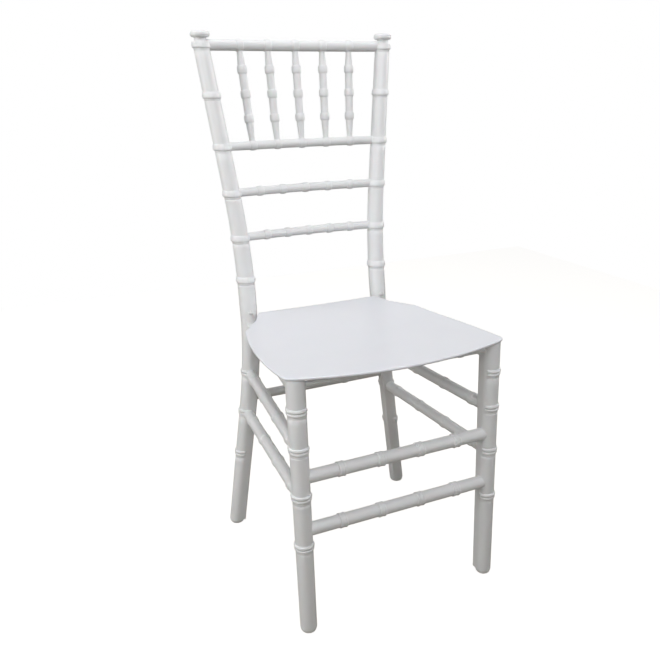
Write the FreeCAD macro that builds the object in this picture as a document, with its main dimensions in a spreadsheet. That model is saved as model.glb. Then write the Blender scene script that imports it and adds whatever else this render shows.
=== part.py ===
import FreeCAD, Part
import math
import os
import Sketcher

# Moulded side chair with bamboo-style turned legs, rails and spindles.
# Millimetres, +Z up, the sitter faces -Y, symmetric about X = 0.
# The origin is on the floor, under the middle of the chair's outer box.

V = FreeCAD.Vector
doc = FreeCAD.newDocument("chair")

# Driving dimensions
SIZES = [
    ("socket_depth", 8, "how far a rail or stretcher enters a leg"),
    ("socket_clearance", 0.1, "radial room of a bar in its socket"),
    ("front_foot_x", 169.8, "front leg centre from the middle, at the floor"),
    ("front_foot_y", -202.8, "front leg centre at the floor"),
    ("front_top_x", 172.7, "front leg centre from the middle, at its top"),
    ("front_top_y", -183.2, "front leg centre at its top"),
    ("front_leg_rise", 1.5, "top of the front legs above the seat height"),
    ("front_foot_radius", 13.6, "front leg radius at the floor"),
    ("front_top_radius", 14.9, "front leg radius at its top"),
    ("corner_radius", 3, "rounding of the square inner corner of a leg"),
    ("rear_foot_x", 184.2, "rear post centre from the middle, at the floor"),
    ("rear_foot_y", 141.7, "rear post centre at the floor"),
    ("rear_foot_radius", 14.1, "rear post radius at the floor"),
    ("rear_shoulder_radius", 15.1, "rear post radius at its shoulder"),
    ("shoulder_drop", 19, "top of a rear post's square corner below the seat height"),
    ("waist_radius", 16.5, "rear post radius at its waist"),
    ("waist_rise", 38, "thickest place of a rear post above its shoulder"),
    ("post_top_radius", 14.4, "rear post radius at its top"),
    ("post_rise", 5, "top of the rear posts above the middle of the top rail"),
    ("post_inset", 0.3, "step in from the square cornered leg to the round post"),
    ("flare_rise", 27.5, "where a post turns from splaying in to flaring out, above the seat height"),
    ("flare_x", 122.9, "post centre where its two sideways slopes would meet"),
    ("flare_upper_slope", 0.117, "outward slope of a post above the seat"),
    ("flare_blend", 190, "half the height over which the sideways bend runs"),
    ("rake_drop", 85.3, "where a post turns from upright to raked, below the seat height"),
    ("rake_y", 132.5, "post centre where its two rearward slopes would meet"),
    ("rake_upper_slope", 0.138, "rearward slope of a post above the seat"),
    ("rake_blend", 112, "half the height over which the rearward bend runs"),
    ("ring_rise", 2.4, "how far a ring stands proud"),
    ("ring_shift", 1.5, "how far a leg ring is moved to the leg's outer side"),
    ("ring_half", 6.8, "half the height of the rounded body of a ring's upper bead"),
    ("ring_drop", 5.6, "lower bead of a ring, below the upper one"),
    ("lower_bead_rise", 1.7, "how far the lower bead stands proud"),
    ("lower_bead_half", 4.6, "half the height of the lower bead"),
    ("front_ring_drop", 50.5, "front leg ring below the seat height"),
    ("side_upper_height", 318, "upper side stretchers and their leg rings"),
    ("side_gap", 79, "lower side stretchers below the upper ones"),
    ("low_ring_drop", 86, "lowest ring of every leg below the lower side stretchers"),
    ("front_upper_drop", 45.5, "upper front stretcher below the upper side stretchers"),
    ("front_lower_drop", 56.7, "lower front stretcher below the lower side stretchers"),
    ("rear_stretcher_drop", 48, "rear stretcher below the upper side stretchers"),
    ("front_stretcher_radius", 10.6, "front stretchers"),
    ("side_stretcher_radius", 10, "side stretchers"),
    ("rear_stretcher_radius", 8.8, "rear stretcher"),
    ("rear_knot", 55, "knots of the rear stretcher, from the middle"),
    ("stretcher_knot_rise", 1.7, "how far a stretcher knot stands proud"),
    ("stretcher_knot_half", 9, "half the length of a stretcher knot"),
    ("front_knot_inner", 36, "inner knots of the front stretchers"),
    ("front_knot_outer", 105, "outer knots of the front stretchers"),
    ("side_knot_inner", 41, "inner knots of the side stretchers, from the middle"),
    ("side_knot_outer", 120, "outer knots of the side stretchers, from the middle"),
    ("post_ring_rise", 65.5, "first post ring above the seat height"),
    ("slat_lower_rise", 140.3, "lower back slat above the seat height"),
    ("slat_gap", 79.3, "upper back slat above the lower one"),
    ("spindle_rail_gap", 80, "spindle rail above the upper back slat"),
    ("top_rail_gap", 168.4, "top rail above the spindle rail"),
    ("back_bow", 9, "how far the back rails bow to the rear at the middle"),
    ("slat_radius", 7.6, "back slats and spindle rail"),
    ("top_rail_radius", 9.2, "top rail"),
    ("rail_knot_rise", 1.7, "how far a back rail knot stands proud"),
    ("rail_knot_half", 7.5, "half the length of a back rail knot"),
    ("slat_lower_pitch", 42.5, "knot spacing on the lower slat"),
    ("slat_upper_pitch", 45.5, "knot spacing on the upper slat"),
    ("spindle_foot_pitch", 48.3, "spindle spacing at the spindle rail"),
    ("spindle_head_pitch", 53, "spindle spacing at the top rail"),
    ("spindle_socket", 5, "how far a spindle enters its rails"),
    ("spindle_tenon", 8, "straight end of a spindle"),
    ("spindle_end_radius", 4.9, "spindle at its rails"),
    ("spindle_body_radius", 7.2, "spindle between its knots"),
    ("spindle_knot_rise", 1.9, "how far a spindle knot stands proud"),
    ("spindle_knot_half", 7, "half the length of a spindle knot"),
    ("low_knot_rise", 45.4, "lowest spindle knot above the spindle rail"),
    ("high_knot_drop", 40, "highest spindle knot below the top rail"),
    ("finial_height", 18, "top of a finial above the top of its post"),
    ("finial_radius", 16.7, "finial disc"),
    ("finial_edge", 4.5, "rounding of the finial disc"),
    ("finial_disc", 11, "thickness of the finial disc"),
    ("finial_neck_radius", 10.3, "finial neck"),
    ("peg_radius", 4, "pegs of the finials, glides and seat"),
    ("peg_length", 10, "pegs of the finials, glides and seat"),
    ("glide_height", 8, "foot glide below the end of its leg"),
    ("glide_edge", 6, "rounding of a foot glide"),
    ("glide_margin", 0.6, "glide radius under the leg radius"),
    ("seat_height", 431, "edges of the seat where they are lowest"),
    ("seat_thickness", 5, "seat panel thickness"),
    ("seat_dish", 4, "how far the seat is dished at the middle"),
    ("seat_low_y", 7.7, "where the edges of the seat are lowest"),
    ("seat_front_rise", 14.5, "rise of the seat edges over their front reach"),
    ("seat_front_reach", 240, "distance over which the seat rises to the front"),
    ("seat_rear_rise", 7.5, "rise of the seat edges over their rear reach"),
    ("seat_rear_reach", 125, "distance over which the seat rises to the rear"),
    ("seat_curl", 1.7, "power of the rise: more keeps the middle flatter and curls the ends"),
    ("dish_margin", 20.1, "half width of the dish beyond the widest half width of the seat"),
    ("blank_margin", 35, "how far the uncut seat runs past the panel"),
    ("seat_front_bow", 30.7, "front of the seat at the middle, ahead of the ends of its bow"),
    ("seat_front_outside", 5.2, "ends of the bowed seat front, outside the front leg centres"),
    ("seat_front_ahead", 14.9, "ends of the bowed seat front, ahead of the front leg centres"),
    ("seat_overhang", 20.2, "widest half width of the seat, outside the front leg centres"),
    ("seat_widest_behind", 1.8, "where the seat is widest, behind the front leg centres"),
    ("seat_corner_radius", 20, "front corners of the seat"),
    ("seat_side_radius", 834, "outward curve of the seat sides"),
    ("seat_ear_outside", 35.9, "rear ears of the seat, outside the post centres"),
    ("seat_ear_ahead", 88.8, "rear ears of the seat, ahead of the post centres"),
    ("seat_ear_radius", 10.6, "rounding of the rear ears"),
    ("seat_neck_outside", 1.6, "where the ears end beside the posts, outside the post centres"),
    ("seat_neck_ahead", 45.3, "where the ears end, ahead of the post centres"),
    ("seat_back_inside", 15.1, "back corners of the seat, inside the post centres"),
    ("seat_back_ahead", 10.8, "back edge of the seat, ahead of the post centres"),
    ("seat_rail_height", 12, "height of the side and rear seat rails"),
    ("seat_rail_width", 14, "width of the side and rear seat rails"),
    ("seat_rail_socket", 5, "how far a seat rail enters a leg"),
    ("side_rail_drop", 14, "top of the side seat rails below the seat height"),
    ("rear_rail_drop", 19, "top of the rear seat rail below the seat height"),
    ("front_rail_drop", 8.8, "centre of the front seat rail below the seat height"),
    ("front_rail_radius", 4.4, "front seat rail"),
    ("front_rail_pitch", 45, "knot spacing on the front seat rail"),
    ("boss_radius", 7, "seat bosses on the side rails"),
    ("front_boss_radius", 11, "seat bosses on the front legs"),
    ("boss_front_gap", 76.9, "front seat screws behind the front leg centres"),
    ("boss_rear_gap", 84.6, "rear seat screws ahead of the post centres"),
    ("screw_radius", 2, "seat screw shank"),
    ("screw_length", 15.5, "seat screw shank length"),
    ("screw_head_radius", 4.5, "seat screw head"),
    ("screw_head_height", 2.6, "seat screw head"),
    ("screw_clearance", 0.2, "room round a screw shank"),
    ("stud_rise", 6, "seat stop studs above the seat height"),
    ("stud_head_radius", 4.2, "seat stop stud head"),
    ("stud_head_height", 2.6, "seat stop stud head"),
    ("stud_radius", 2, "seat stop stud shank"),
    ("stud_sink", 0.6, "depth of the flat under a stud head"),
    ("stud_edge", 1.6, "rounding of a stud head"),
    ("stud_length", 12, "seat stop stud shank in the post"),
    ("cut_margin", 1, "how far a cutter runs past the face that it opens"),
]

# Sizes that follow from the driving ones
DERIVED = [
    ("front_top_height", "seat_height + front_leg_rise", "top of the front legs"),
    ("rear_shoulder_height", "seat_height - shoulder_drop", "top of the square corner of a rear post"),
    ("waist_height", "rear_shoulder_height + waist_rise", "thickest place of a rear post"),
    ("flare_height", "seat_height + flare_rise", "knee of the sideways bend of a post"),
    ("rake_height", "seat_height - rake_drop", "knee of the rearward bend of a post"),
    ("front_ring", "seat_height - front_ring_drop", "front leg ring under the seat"),
    ("side_lower_height", "side_upper_height - side_gap", "lower side stretchers and their leg rings"),
    ("low_ring", "side_lower_height - low_ring_drop", "lowest ring of every leg"),
    ("front_upper_height", "side_upper_height - front_upper_drop", "upper front stretcher"),
    ("front_lower_height", "side_lower_height - front_lower_drop", "lower front stretcher"),
    ("rear_stretcher_height", "side_upper_height - rear_stretcher_drop", "rear stretcher"),
    ("post_ring_low", "seat_height + post_ring_rise", "first post ring above the seat"),
    ("slat_lower_height", "seat_height + slat_lower_rise", "lower back slat"),
    ("slat_upper_height", "slat_lower_height + slat_gap", "upper back slat"),
    ("spindle_rail_height", "slat_upper_height + spindle_rail_gap", "rail under the spindles"),
    ("top_rail_height", "spindle_rail_height + top_rail_gap", "top rail"),
    ("post_top_height", "top_rail_height + post_rise", "top of the rear posts"),
    ("spindle_knot_low", "spindle_rail_height + low_knot_rise", "lowest spindle knot"),
    ("spindle_knot_high", "top_rail_height - high_knot_drop", "highest spindle knot"),
    ("spindle_knot_middle", "(spindle_knot_low + spindle_knot_high) / 2", "middle knot and its post ring"),
    ("seat_corner_x", "front_top_x + seat_overhang", "widest half width of the seat"),
    ("seat_corner_y", "front_top_y + seat_widest_behind", "where the seat is widest"),
    ("seat_half", "seat_corner_x + dish_margin", "half width over which the seat is dished"),
    ("seat_front_x", "front_top_x + seat_front_outside", "half width of the bowed seat front"),
    ("seat_front_y", "front_top_y - seat_front_ahead", "ends of the bowed seat front"),
    ("seat_front", "seat_front_y - seat_front_bow", "front of the seat at the middle"),
    ("front_rail_height", "seat_height - front_rail_drop", "centre of the front seat rail"),
    ("side_rail_top", "seat_height - side_rail_drop", "top of the side seat rails"),
    ("rear_rail_top", "seat_height - rear_rail_drop", "top of the rear seat rail"),
    ("stud_height", "seat_height + stud_rise", "seat stop studs on the rear posts"),
]

sheet = doc.addObject("Spreadsheet::Sheet", "Sizes")
for row, (alias, value, meaning) in enumerate(SIZES + DERIVED, start=1):
    sheet.set("A%d" % row, meaning)
    sheet.setAlias("B%d" % row, alias)
    sheet.set("B%d" % row, "=" + value if isinstance(value, str) else str(value))
doc.recompute()


class Dim:
    """A size with its number and the spreadsheet expression that gives it."""

    def __init__(self, value, text):
        self.value = float(value)
        self.text = text

    def __add__(self, other):
        other = as_dim(other)
        return Dim(self.value + other.value, "(%s + %s)" % (self.text, other.text))

    def __sub__(self, other):
        other = as_dim(other)
        return Dim(self.value - other.value, "(%s - %s)" % (self.text, other.text))

    def __mul__(self, other):
        other = as_dim(other)
        return Dim(self.value * other.value, "(%s * %s)" % (self.text, other.text))

    def __truediv__(self, other):
        other = as_dim(other)
        return Dim(self.value / other.value, "(%s / %s)" % (self.text, other.text))


def as_dim(value):
    """Give a plain number the form of a size."""
    return value if isinstance(value, Dim) else Dim(value, repr(float(value)))


def size(alias):
    """A driving dimension, bound to its spreadsheet cell."""
    return Dim(sheet.get(alias), "Sizes." + alias)


def num(alias):
    """The number in a spreadsheet cell."""
    return float(sheet.get(alias))


def bind(obj, **sizes):
    """Set properties of an object and bind them to the spreadsheet."""
    for prop, value in sizes.items():
        value = as_dim(value)
        setattr(obj, prop, value.value)
        if "Sizes." in value.text:
            obj.setExpression(prop, value.text)


def turn_to(direction):
    """Rotation that takes +Z to a direction."""
    return FreeCAD.Rotation(V(0, 0, 1), direction)


def make(kind, name, place=None, **sizes):
    """Add a primitive with bound sizes at a place."""
    obj = doc.addObject(kind, name)
    bind(obj, **sizes)
    if place:
        obj.Placement = place
    return obj


def cylinder(name, base, direction, radius, height):
    """Cylinder from a base point along a direction."""
    place = FreeCAD.Placement(base, turn_to(direction))
    return make("Part::Cylinder", name, place, Radius=radius, Height=height)


def bead(name, centre, direction, radius, half):
    """Rounded ring about a bar: an ellipsoid centred on the bar's axis."""
    turn = turn_to(direction) * FreeCAD.Rotation(V(0, 0, 1), 37)
    place = FreeCAD.Placement(centre, turn)
    return make("Part::Ellipsoid", name, place, Radius1=half, Radius2=radius, Radius3=radius, Angle3=360)


def join(name, pieces):
    """Fuse pieces into one solid."""
    fuse = doc.addObject("Part::MultiFuse", name)
    fuse.Shapes = pieces
    return fuse


def cut(name, base, tools):
    """Take tools away from a base."""
    result = doc.addObject("Part::Cut", name)
    result.Base = base
    result.Tool = tools[0] if len(tools) == 1 else join(name + "_cutters", tools)
    return result


def loft(name, sections, ruled=False):
    """Solid loft through closed sections."""
    result = doc.addObject("Part::Loft", name)
    result.Sections = sections
    result.Solid = True
    result.Ruled = ruled
    return result


# Centre lines

def between(low, high, share):
    """Value part of the way from low to high."""
    return low + (high - low) * share


def front_centre(z, side):
    """Centre of a front leg at a height; side is -1 on the left and 1 on the right."""
    share = z / num("front_top_height")
    x = between(num("front_foot_x"), num("front_top_x"), share)
    return V(side * x, between(num("front_foot_y"), num("front_top_y"), share), z)


def front_radius(z):
    """Radius of a front leg at a height."""
    return between(num("front_foot_radius"), num("front_top_radius"), z / num("front_top_height"))


def bent(z, knee, blend, below, above, value):
    """A line that turns from one slope to another about a knee, with a smooth blend."""
    run = z - knee
    line = value + (below if run < 0 else above) * run
    rest = max(0.0, blend - abs(run))
    return line + (above - below) * rest * rest / (4 * blend)


def rear_centre(z, side):
    """Centre of a rear post at a height."""
    splay = (num("flare_x") - num("rear_foot_x")) / num("flare_height")
    stance = (num("rake_y") - num("rear_foot_y")) / num("rake_height")
    x = bent(z, num("flare_height"), num("flare_blend"), splay, num("flare_upper_slope"), num("flare_x"))
    y = bent(z, num("rake_height"), num("rake_blend"), stance, num("rake_upper_slope"), num("rake_y"))
    return V(side * x, y, z)


def rear_radius(z):
    """Radius of a rear post at a height."""
    shoulder = num("rear_shoulder_height")
    waist = num("waist_height")
    if z < shoulder:
        return between(num("rear_foot_radius"), num("rear_shoulder_radius"), z / shoulder)
    if z < waist:
        share = (z - shoulder) / (waist - shoulder)
        return between(num("rear_shoulder_radius"), num("waist_radius"), share)
    share = (z - waist) / (num("post_top_height") - waist)
    return between(num("waist_radius"), num("post_top_radius"), share)


def stations(low, high, count):
    """Evenly spaced heights from low to high, both included."""
    return [between(low, high, k / count) for k in range(count + 1)]


def tangent(centre, z, side):
    """Direction of a centre line at a height."""
    step = 1.0
    return (centre(z + step, side) - centre(z - step, side)).normalize()


# Sketches

def fix_point(sketch, geometry, point, x, y):
    """Hold one end of a sketch line or arc at a place that is bound to the sizes."""
    for kind, value, axis in (("DistanceX", as_dim(x), -2), ("DistanceY", as_dim(y), -1)):
        if abs(value.value) < 1e-9:
            sketch.addConstraint(Sketcher.Constraint("PointOnObject", geometry, point, axis))
            continue
        index = sketch.addConstraint(Sketcher.Constraint(kind, -1, 1, geometry, point, value.value))
        if "Sizes." in value.text:
            sketch.setExpression("Constraints[%d]" % index, value.text)


def fix_radius(sketch, geometry, radius):
    """Give a sketch arc a radius that is bound to the sizes."""
    index = sketch.addConstraint(Sketcher.Constraint("Radius", geometry, as_dim(radius).value))
    if "Sizes." in as_dim(radius).text:
        sketch.setExpression("Constraints[%d]" % index, as_dim(radius).text)


def arc_between(start, end, radius):
    """Arc from one point to another; a positive radius turns left, a negative one turns right."""
    chord = end - start
    middle = (start + end) * 0.5
    rest = math.sqrt(max(0.0, radius * radius - chord.Length * chord.Length / 4))
    left = V(-chord.y, chord.x, 0).normalize()
    centre = middle + left * (rest if radius > 0 else -rest)
    first, last = (start, end) if radius > 0 else (end, start)
    angles = [math.atan2(p.y - centre.y, p.x - centre.x) for p in (first, last)]
    return Part.ArcOfCircle(Part.Circle(centre, V(0, 0, 1), abs(radius)), angles[0], angles[1])


def draw(sketch, outline):
    """Draw a closed outline of points (x, y) or (x, y, radius of the arc that ends there)."""
    count = len(outline)
    ends = []
    for index in range(count):
        here = outline[index]
        there = outline[(index + 1) % count]
        start = V(as_dim(here[0]).value, as_dim(here[1]).value, 0)
        end = V(as_dim(there[0]).value, as_dim(there[1]).value, 0)
        if len(there) == 2:
            sketch.addGeometry(Part.LineSegment(start, end))
            ends.append((1, 2))
        else:
            radius = as_dim(there[2])
            sketch.addGeometry(arc_between(start, end, radius.value))
            ends.append((1, 2) if radius.value > 0 else (2, 1))
    for index in range(count):
        after = (index + 1) % count
        joint = Sketcher.Constraint("Coincident", index, ends[index][1], after, ends[after][0])
        sketch.addConstraint(joint)
        fix_point(sketch, index, ends[index][0], outline[index][0], outline[index][1])
        there = outline[after]
        if len(there) == 3:
            radius = as_dim(there[2])
            fix_radius(sketch, index, radius if radius.value > 0 else radius * -1)


def turned(name, outline, place):
    """Round piece turned about its own Z axis from a half outline of points (radius, height)."""
    body = doc.addObject("PartDesign::Body", name)
    sketch = body.newObject("Sketcher::SketchObject", name + "_profile")
    plane = [f for f in body.Origin.OriginFeatures if f.Role == "XZ_Plane"][0]
    sketch.AttachmentSupport = [(plane, "")]
    sketch.MapMode = "FlatFace"
    draw(sketch, outline)
    doc.recompute()
    turn = body.newObject("PartDesign::Revolution", name + "_turn")
    turn.Profile = sketch
    turn.ReferenceAxis = (sketch, ["V_Axis"])
    turn.Angle = 360
    body.Placement = place
    return body


# Legs and posts

def corner_section(name, centre, radius, quarter):
    """Round section with one square corner; each quarter turn moves the corner on by 90 degrees."""
    sketch = doc.addObject("Sketcher::SketchObject", name)
    edge = num("corner_radius")
    flat = radius - edge
    outer = Part.Circle(V(0, 0, 0), V(0, 0, 1), radius)
    sketch.addGeometry(Part.ArcOfCircle(outer, math.pi / 2, 2 * math.pi))
    sketch.addGeometry(Part.LineSegment(V(radius, 0, 0), V(radius, flat, 0)))
    sketch.addGeometry(Part.ArcOfCircle(Part.Circle(V(flat, flat, 0), V(0, 0, 1), edge), 0, math.pi / 2))
    sketch.addGeometry(Part.LineSegment(V(flat, radius, 0), V(0, radius, 0)))
    for first in range(4):
        sketch.addConstraint(Sketcher.Constraint("Tangent", first, 2, (first + 1) % 4, 1))
    sketch.addConstraint(Sketcher.Constraint("Coincident", 0, 3, -1, 1))
    sketch.addConstraint(Sketcher.Constraint("Vertical", 1))
    fix_radius(sketch, 0, radius)
    fix_radius(sketch, 2, size("corner_radius"))
    sketch.Placement = FreeCAD.Placement(centre, FreeCAD.Rotation(V(0, 0, 1), 90 * quarter))
    return sketch


def round_section(name, centre, radius):
    """Round section across a post."""
    return make("Part::Circle", name, FreeCAD.Placement(centre, FreeCAD.Rotation()), Radius=radius)


def ring(name, centre, direction, radius, shift):
    """The two beads of a ring; shift moves them towards the outer side of a leg."""
    spare = as_dim(radius) - shift.Length
    above = centre + shift
    below = above - direction * num("ring_drop")
    upper = bead(name + "_upper", above, direction, spare + size("ring_rise"), size("ring_half"))
    lower = bead(name + "_lower", below, direction, spare + size("lower_bead_rise"), size("lower_bead_half"))
    return [upper, lower]


def front_leg(name, side, sockets):
    """Tapered front leg whose square corner faces the middle of the chair."""
    top = num("front_top_height")
    quarter = 1 if side > 0 else 0
    foot = corner_section(name + "_foot_section", front_centre(num("glide_height"), side),
                          front_radius(num("glide_height")), quarter)
    head = corner_section(name + "_top_section", front_centre(top, side), front_radius(top), quarter)
    pieces = [loft(name + "_shaft", [foot, head], ruled=True)]
    shift = V(side, -1, 0).normalize() * num("ring_shift")
    for height in ("front_ring", "side_upper_height", "side_lower_height", "low_ring"):
        z = num(height)
        direction = tangent(front_centre, z, side)
        pieces += ring(name + "_" + height, front_centre(z, side), direction, front_radius(z), shift)
    return cut(name, join(name + "_blank", pieces), sockets)


def rear_post(name, side, sockets):
    """Rear leg and back post in one: square cornered below the seat and round above it."""
    shoulder = num("rear_shoulder_height")
    quarter = 2 if side > 0 else 3
    sections = [corner_section("%s_section_%d" % (name, k), rear_centre(z, side), rear_radius(z), quarter)
                for k, z in enumerate(stations(num("glide_height"), shoulder, 4))]
    leg = loft(name + "_leg", sections)
    waist = num("waist_height")
    inset = num("post_inset")
    start = shoulder - (waist - shoulder) / 4
    heights = [start] + stations(shoulder, waist, 2)[1:] + stations(waist, num("post_top_height"), 7)[1:]
    sections = [round_section("%s_round_%d" % (name, k), rear_centre(z, side), rear_radius(z) - inset)
                for k, z in enumerate(heights)]
    pieces = [leg, loft(name + "_post", sections)]
    shift = V(side, 1, 0).normalize() * num("ring_shift")
    for height in ("side_upper_height", "side_lower_height", "low_ring"):
        z = num(height)
        direction = tangent(rear_centre, z, side)
        pieces += ring(name + "_" + height, rear_centre(z, side), direction, rear_radius(z), shift)
    for height in ("post_ring_low", "slat_lower_height", "slat_upper_height", "spindle_rail_height",
                   "spindle_knot_middle", "top_rail_height"):
        z = num(height)
        centre = rear_centre(z, side)
        direction = tangent(rear_centre, z, side)
        pieces += ring(name + "_" + height, centre, direction, rear_radius(z) - inset, V(0, 0, 0))
    return cut(name, join(name + "_blank", pieces), sockets)


# Bars between the legs

SIDES = (("left", -1), ("right", 1))
cutters = {"front_leg_right": [], "rear_post_right": []}


def socket(leg, point, direction, radius):
    """Bore in a right leg that starts at the end face of a bar; the left legs are mirrored."""
    if leg not in cutters:
        return
    name = "%s_socket_%d" % (leg, len(cutters[leg]))
    length = size("socket_depth") * 3
    cutters[leg].append(cylinder(name, point, direction, as_dim(radius) + size("socket_clearance"), length))


def knots(name, places, middle, direction, radius):
    """Knots along a straight bar, each at a distance from its middle."""
    width = as_dim(radius) + size("stretcher_knot_rise")
    half = size("stretcher_knot_half")
    return [bead("%s_knot_%d" % (name, k), middle + direction * place, direction, width, half)
            for k, place in enumerate(places)]


def straight_bar(name, ends, insets, legs, radius, places):
    """Round bar whose ends stand in sockets of two legs."""
    direction = (ends[1] - ends[0]).normalize()
    start = ends[0] + direction * insets[0]
    stop = ends[1] - direction * insets[1]
    middle = (ends[0] + ends[1]) * 0.5
    shaft = cylinder(name + "_shaft", start, direction, radius, (stop - start).Length)
    socket(legs[0], start, direction, radius)
    socket(legs[1], stop, direction * -1, radius)
    return join(name, [shaft] + knots(name, places, middle, direction, radius))


def both_ways(*values):
    """Distances on both sides of the middle."""
    return [sign * value for value in values for sign in (-1, 1)]


def front_bar(name, height, radius, depth, places):
    """Round bar between the front legs."""
    z = num(height)
    inset = front_radius(z) - num(depth)
    ends = [front_centre(z, side) for label, side in SIDES]
    legs = ("front_leg_left", "front_leg_right")
    return straight_bar(name, ends, (inset, inset), legs, size(radius), places)


front_places = both_ways(num("front_knot_inner"), num("front_knot_outer"))
for level in ("upper", "lower"):
    front_bar("front_stretcher_" + level, "front_%s_height" % level, "front_stretcher_radius", "socket_depth",
              front_places)
rail_places = both_ways(*[num("front_rail_pitch") * step for step in (0.5, 1.5, 2.5)])
front_bar("front_seat_rail", "front_rail_height", "front_rail_radius", "seat_rail_socket", rail_places)

rear_height = num("rear_stretcher_height")
rear_inset = rear_radius(rear_height) - num("socket_depth")
straight_bar("rear_stretcher", [rear_centre(rear_height, side) for label, side in SIDES],
             (rear_inset, rear_inset), ("rear_post_left", "rear_post_right"), size("rear_stretcher_radius"),
             both_ways(num("rear_knot")))

side_places = both_ways(num("side_knot_inner"), num("side_knot_outer"))
for label, side in SIDES:
    for level in ("upper", "lower"):
        z = num("side_%s_height" % level)
        ends = (front_centre(z, side), rear_centre(z, side))
        insets = (front_radius(z) - num("socket_depth"), rear_radius(z) - num("socket_depth"))
        legs = ("front_leg_" + label, "rear_post_" + label)
        straight_bar("side_stretcher_%s_%s" % (label, level), ends, insets, legs,
                     size("side_stretcher_radius"), side_places)


# Seat rails of rectangular section

def slab(name, start, direction, length, width, height):
    """Box along a level direction, centred on its start point."""
    across = V(-direction.y, direction.x, 0)
    corner = start - across * (as_dim(width).value / 2) - V(0, 0, as_dim(height).value / 2)
    place = FreeCAD.Placement(corner, FreeCAD.Rotation(V(1, 0, 0), direction))
    return make("Part::Box", name, place, Length=length, Width=width, Height=height)


def rail_bar(name, ends, insets, legs, holes):
    """Rectangular rail whose ends stand in sockets of two legs, with bores for screws."""
    direction = (ends[1] - ends[0]).normalize()
    start = ends[0] + direction * insets[0]
    stop = ends[1] - direction * insets[1]
    room = size("socket_clearance") * 2
    wide = size("seat_rail_width") + room
    tall = size("seat_rail_height") + room
    for leg, point, way in ((legs[0], start, direction), (legs[1], stop, direction * -1)):
        if leg not in cutters:
            continue
        mortise = "%s_mortise_%d" % (leg, len(cutters[leg]))
        cutters[leg].append(slab(mortise, point, way, size("seat_rail_width") * 2, wide, tall))
    length = (stop - start).Length
    solid = name + "_blank" if holes else name
    rail = slab(solid, start, direction, length, size("seat_rail_width"), size("seat_rail_height"))
    return cut(name, rail, holes) if holes else rail


z = num("rear_rail_top") - num("seat_rail_height") / 2
back_inset = rear_radius(z) - num("seat_rail_socket")
rail_bar("rear_seat_rail", [rear_centre(z, side) for label, side in SIDES], (back_inset, back_inset),
         ("rear_post_left", "rear_post_right"), [])

screw_places = []
for label, side in SIDES:
    z = num("side_rail_top") - num("seat_rail_height") / 2
    front = front_centre(z, side)
    rear = rear_centre(z, side)
    holes = []
    for y in (front.y + num("boss_front_gap"), rear.y - num("boss_rear_gap")):
        share = (y - front.y) / (rear.y - front.y)
        place = V(between(front.x, rear.x, share), y, num("side_rail_top") - num("seat_rail_height"))
        screw_places.append(place)
        bore = size("screw_radius") + size("screw_clearance")
        low = place - V(0, 0, num("cut_margin"))
        depth = size("seat_rail_height") + size("cut_margin") * 2
        holes.append(cylinder("side_rail_%s_hole_%d" % (label, len(holes)), low, V(0, 0, 1), bore, depth))
    rail_bar("side_seat_rail_" + label, (front, rear),
             (front_radius(z) - num("seat_rail_socket"), rear_radius(z) - num("seat_rail_socket")),
             ("front_leg_" + label, "rear_post_" + label), holes)


# Bowed back rails

class Bow:
    """Level arc between the rear posts that bows to the rear."""

    def __init__(self, height):
        post = rear_centre(height, 1)
        bow = num("back_bow")
        self.height = height
        self.radius = (post.x * post.x + bow * bow) / (2 * bow)
        self.centre = V(0, post.y + bow - self.radius, height)
        reach = post.x - (rear_radius(height) - num("post_inset") - num("socket_depth"))
        self.end_angle = math.asin(reach / self.radius)

    def at(self, angle):
        """Point of the arc at an angle from the middle."""
        return self.centre + V(math.sin(angle), math.cos(angle), 0) * self.radius

    def along(self, angle):
        """Direction of the arc towards +X at an angle from the middle."""
        return V(math.cos(angle), -math.sin(angle), 0)

    def angle(self, x):
        """Angle of the point of the arc at a distance from the middle plane."""
        return math.asin(x / self.radius)


rail_cutters = {}


def bowed_rail(name, height, radius, pitch):
    """Round back rail with five knots, let into both posts."""
    bow = Bow(num(height))
    turn = FreeCAD.Rotation(V(0, 0, 1), 90 - math.degrees(bow.end_angle))
    arc = make("Part::Torus", name + "_arc", FreeCAD.Placement(bow.centre, turn), Radius1=bow.radius,
               Radius2=size(radius), Angle3=2 * math.degrees(bow.end_angle))
    pieces = [arc]
    for step in range(-2, 3):
        angle = bow.angle(step * num(pitch))
        pieces.append(bead("%s_knot_%d" % (name, step + 2), bow.at(angle), bow.along(angle),
                           size(radius) + size("rail_knot_rise"), size("rail_knot_half")))
    for (label, side) in SIDES:
        angle = side * bow.end_angle
        socket("rear_post_" + label, bow.at(angle), bow.along(angle) * -side, size(radius))
    tools = rail_cutters.get(name, [])
    return cut(name, join(name + "_blank", pieces), tools) if tools else join(name, pieces)


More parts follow.
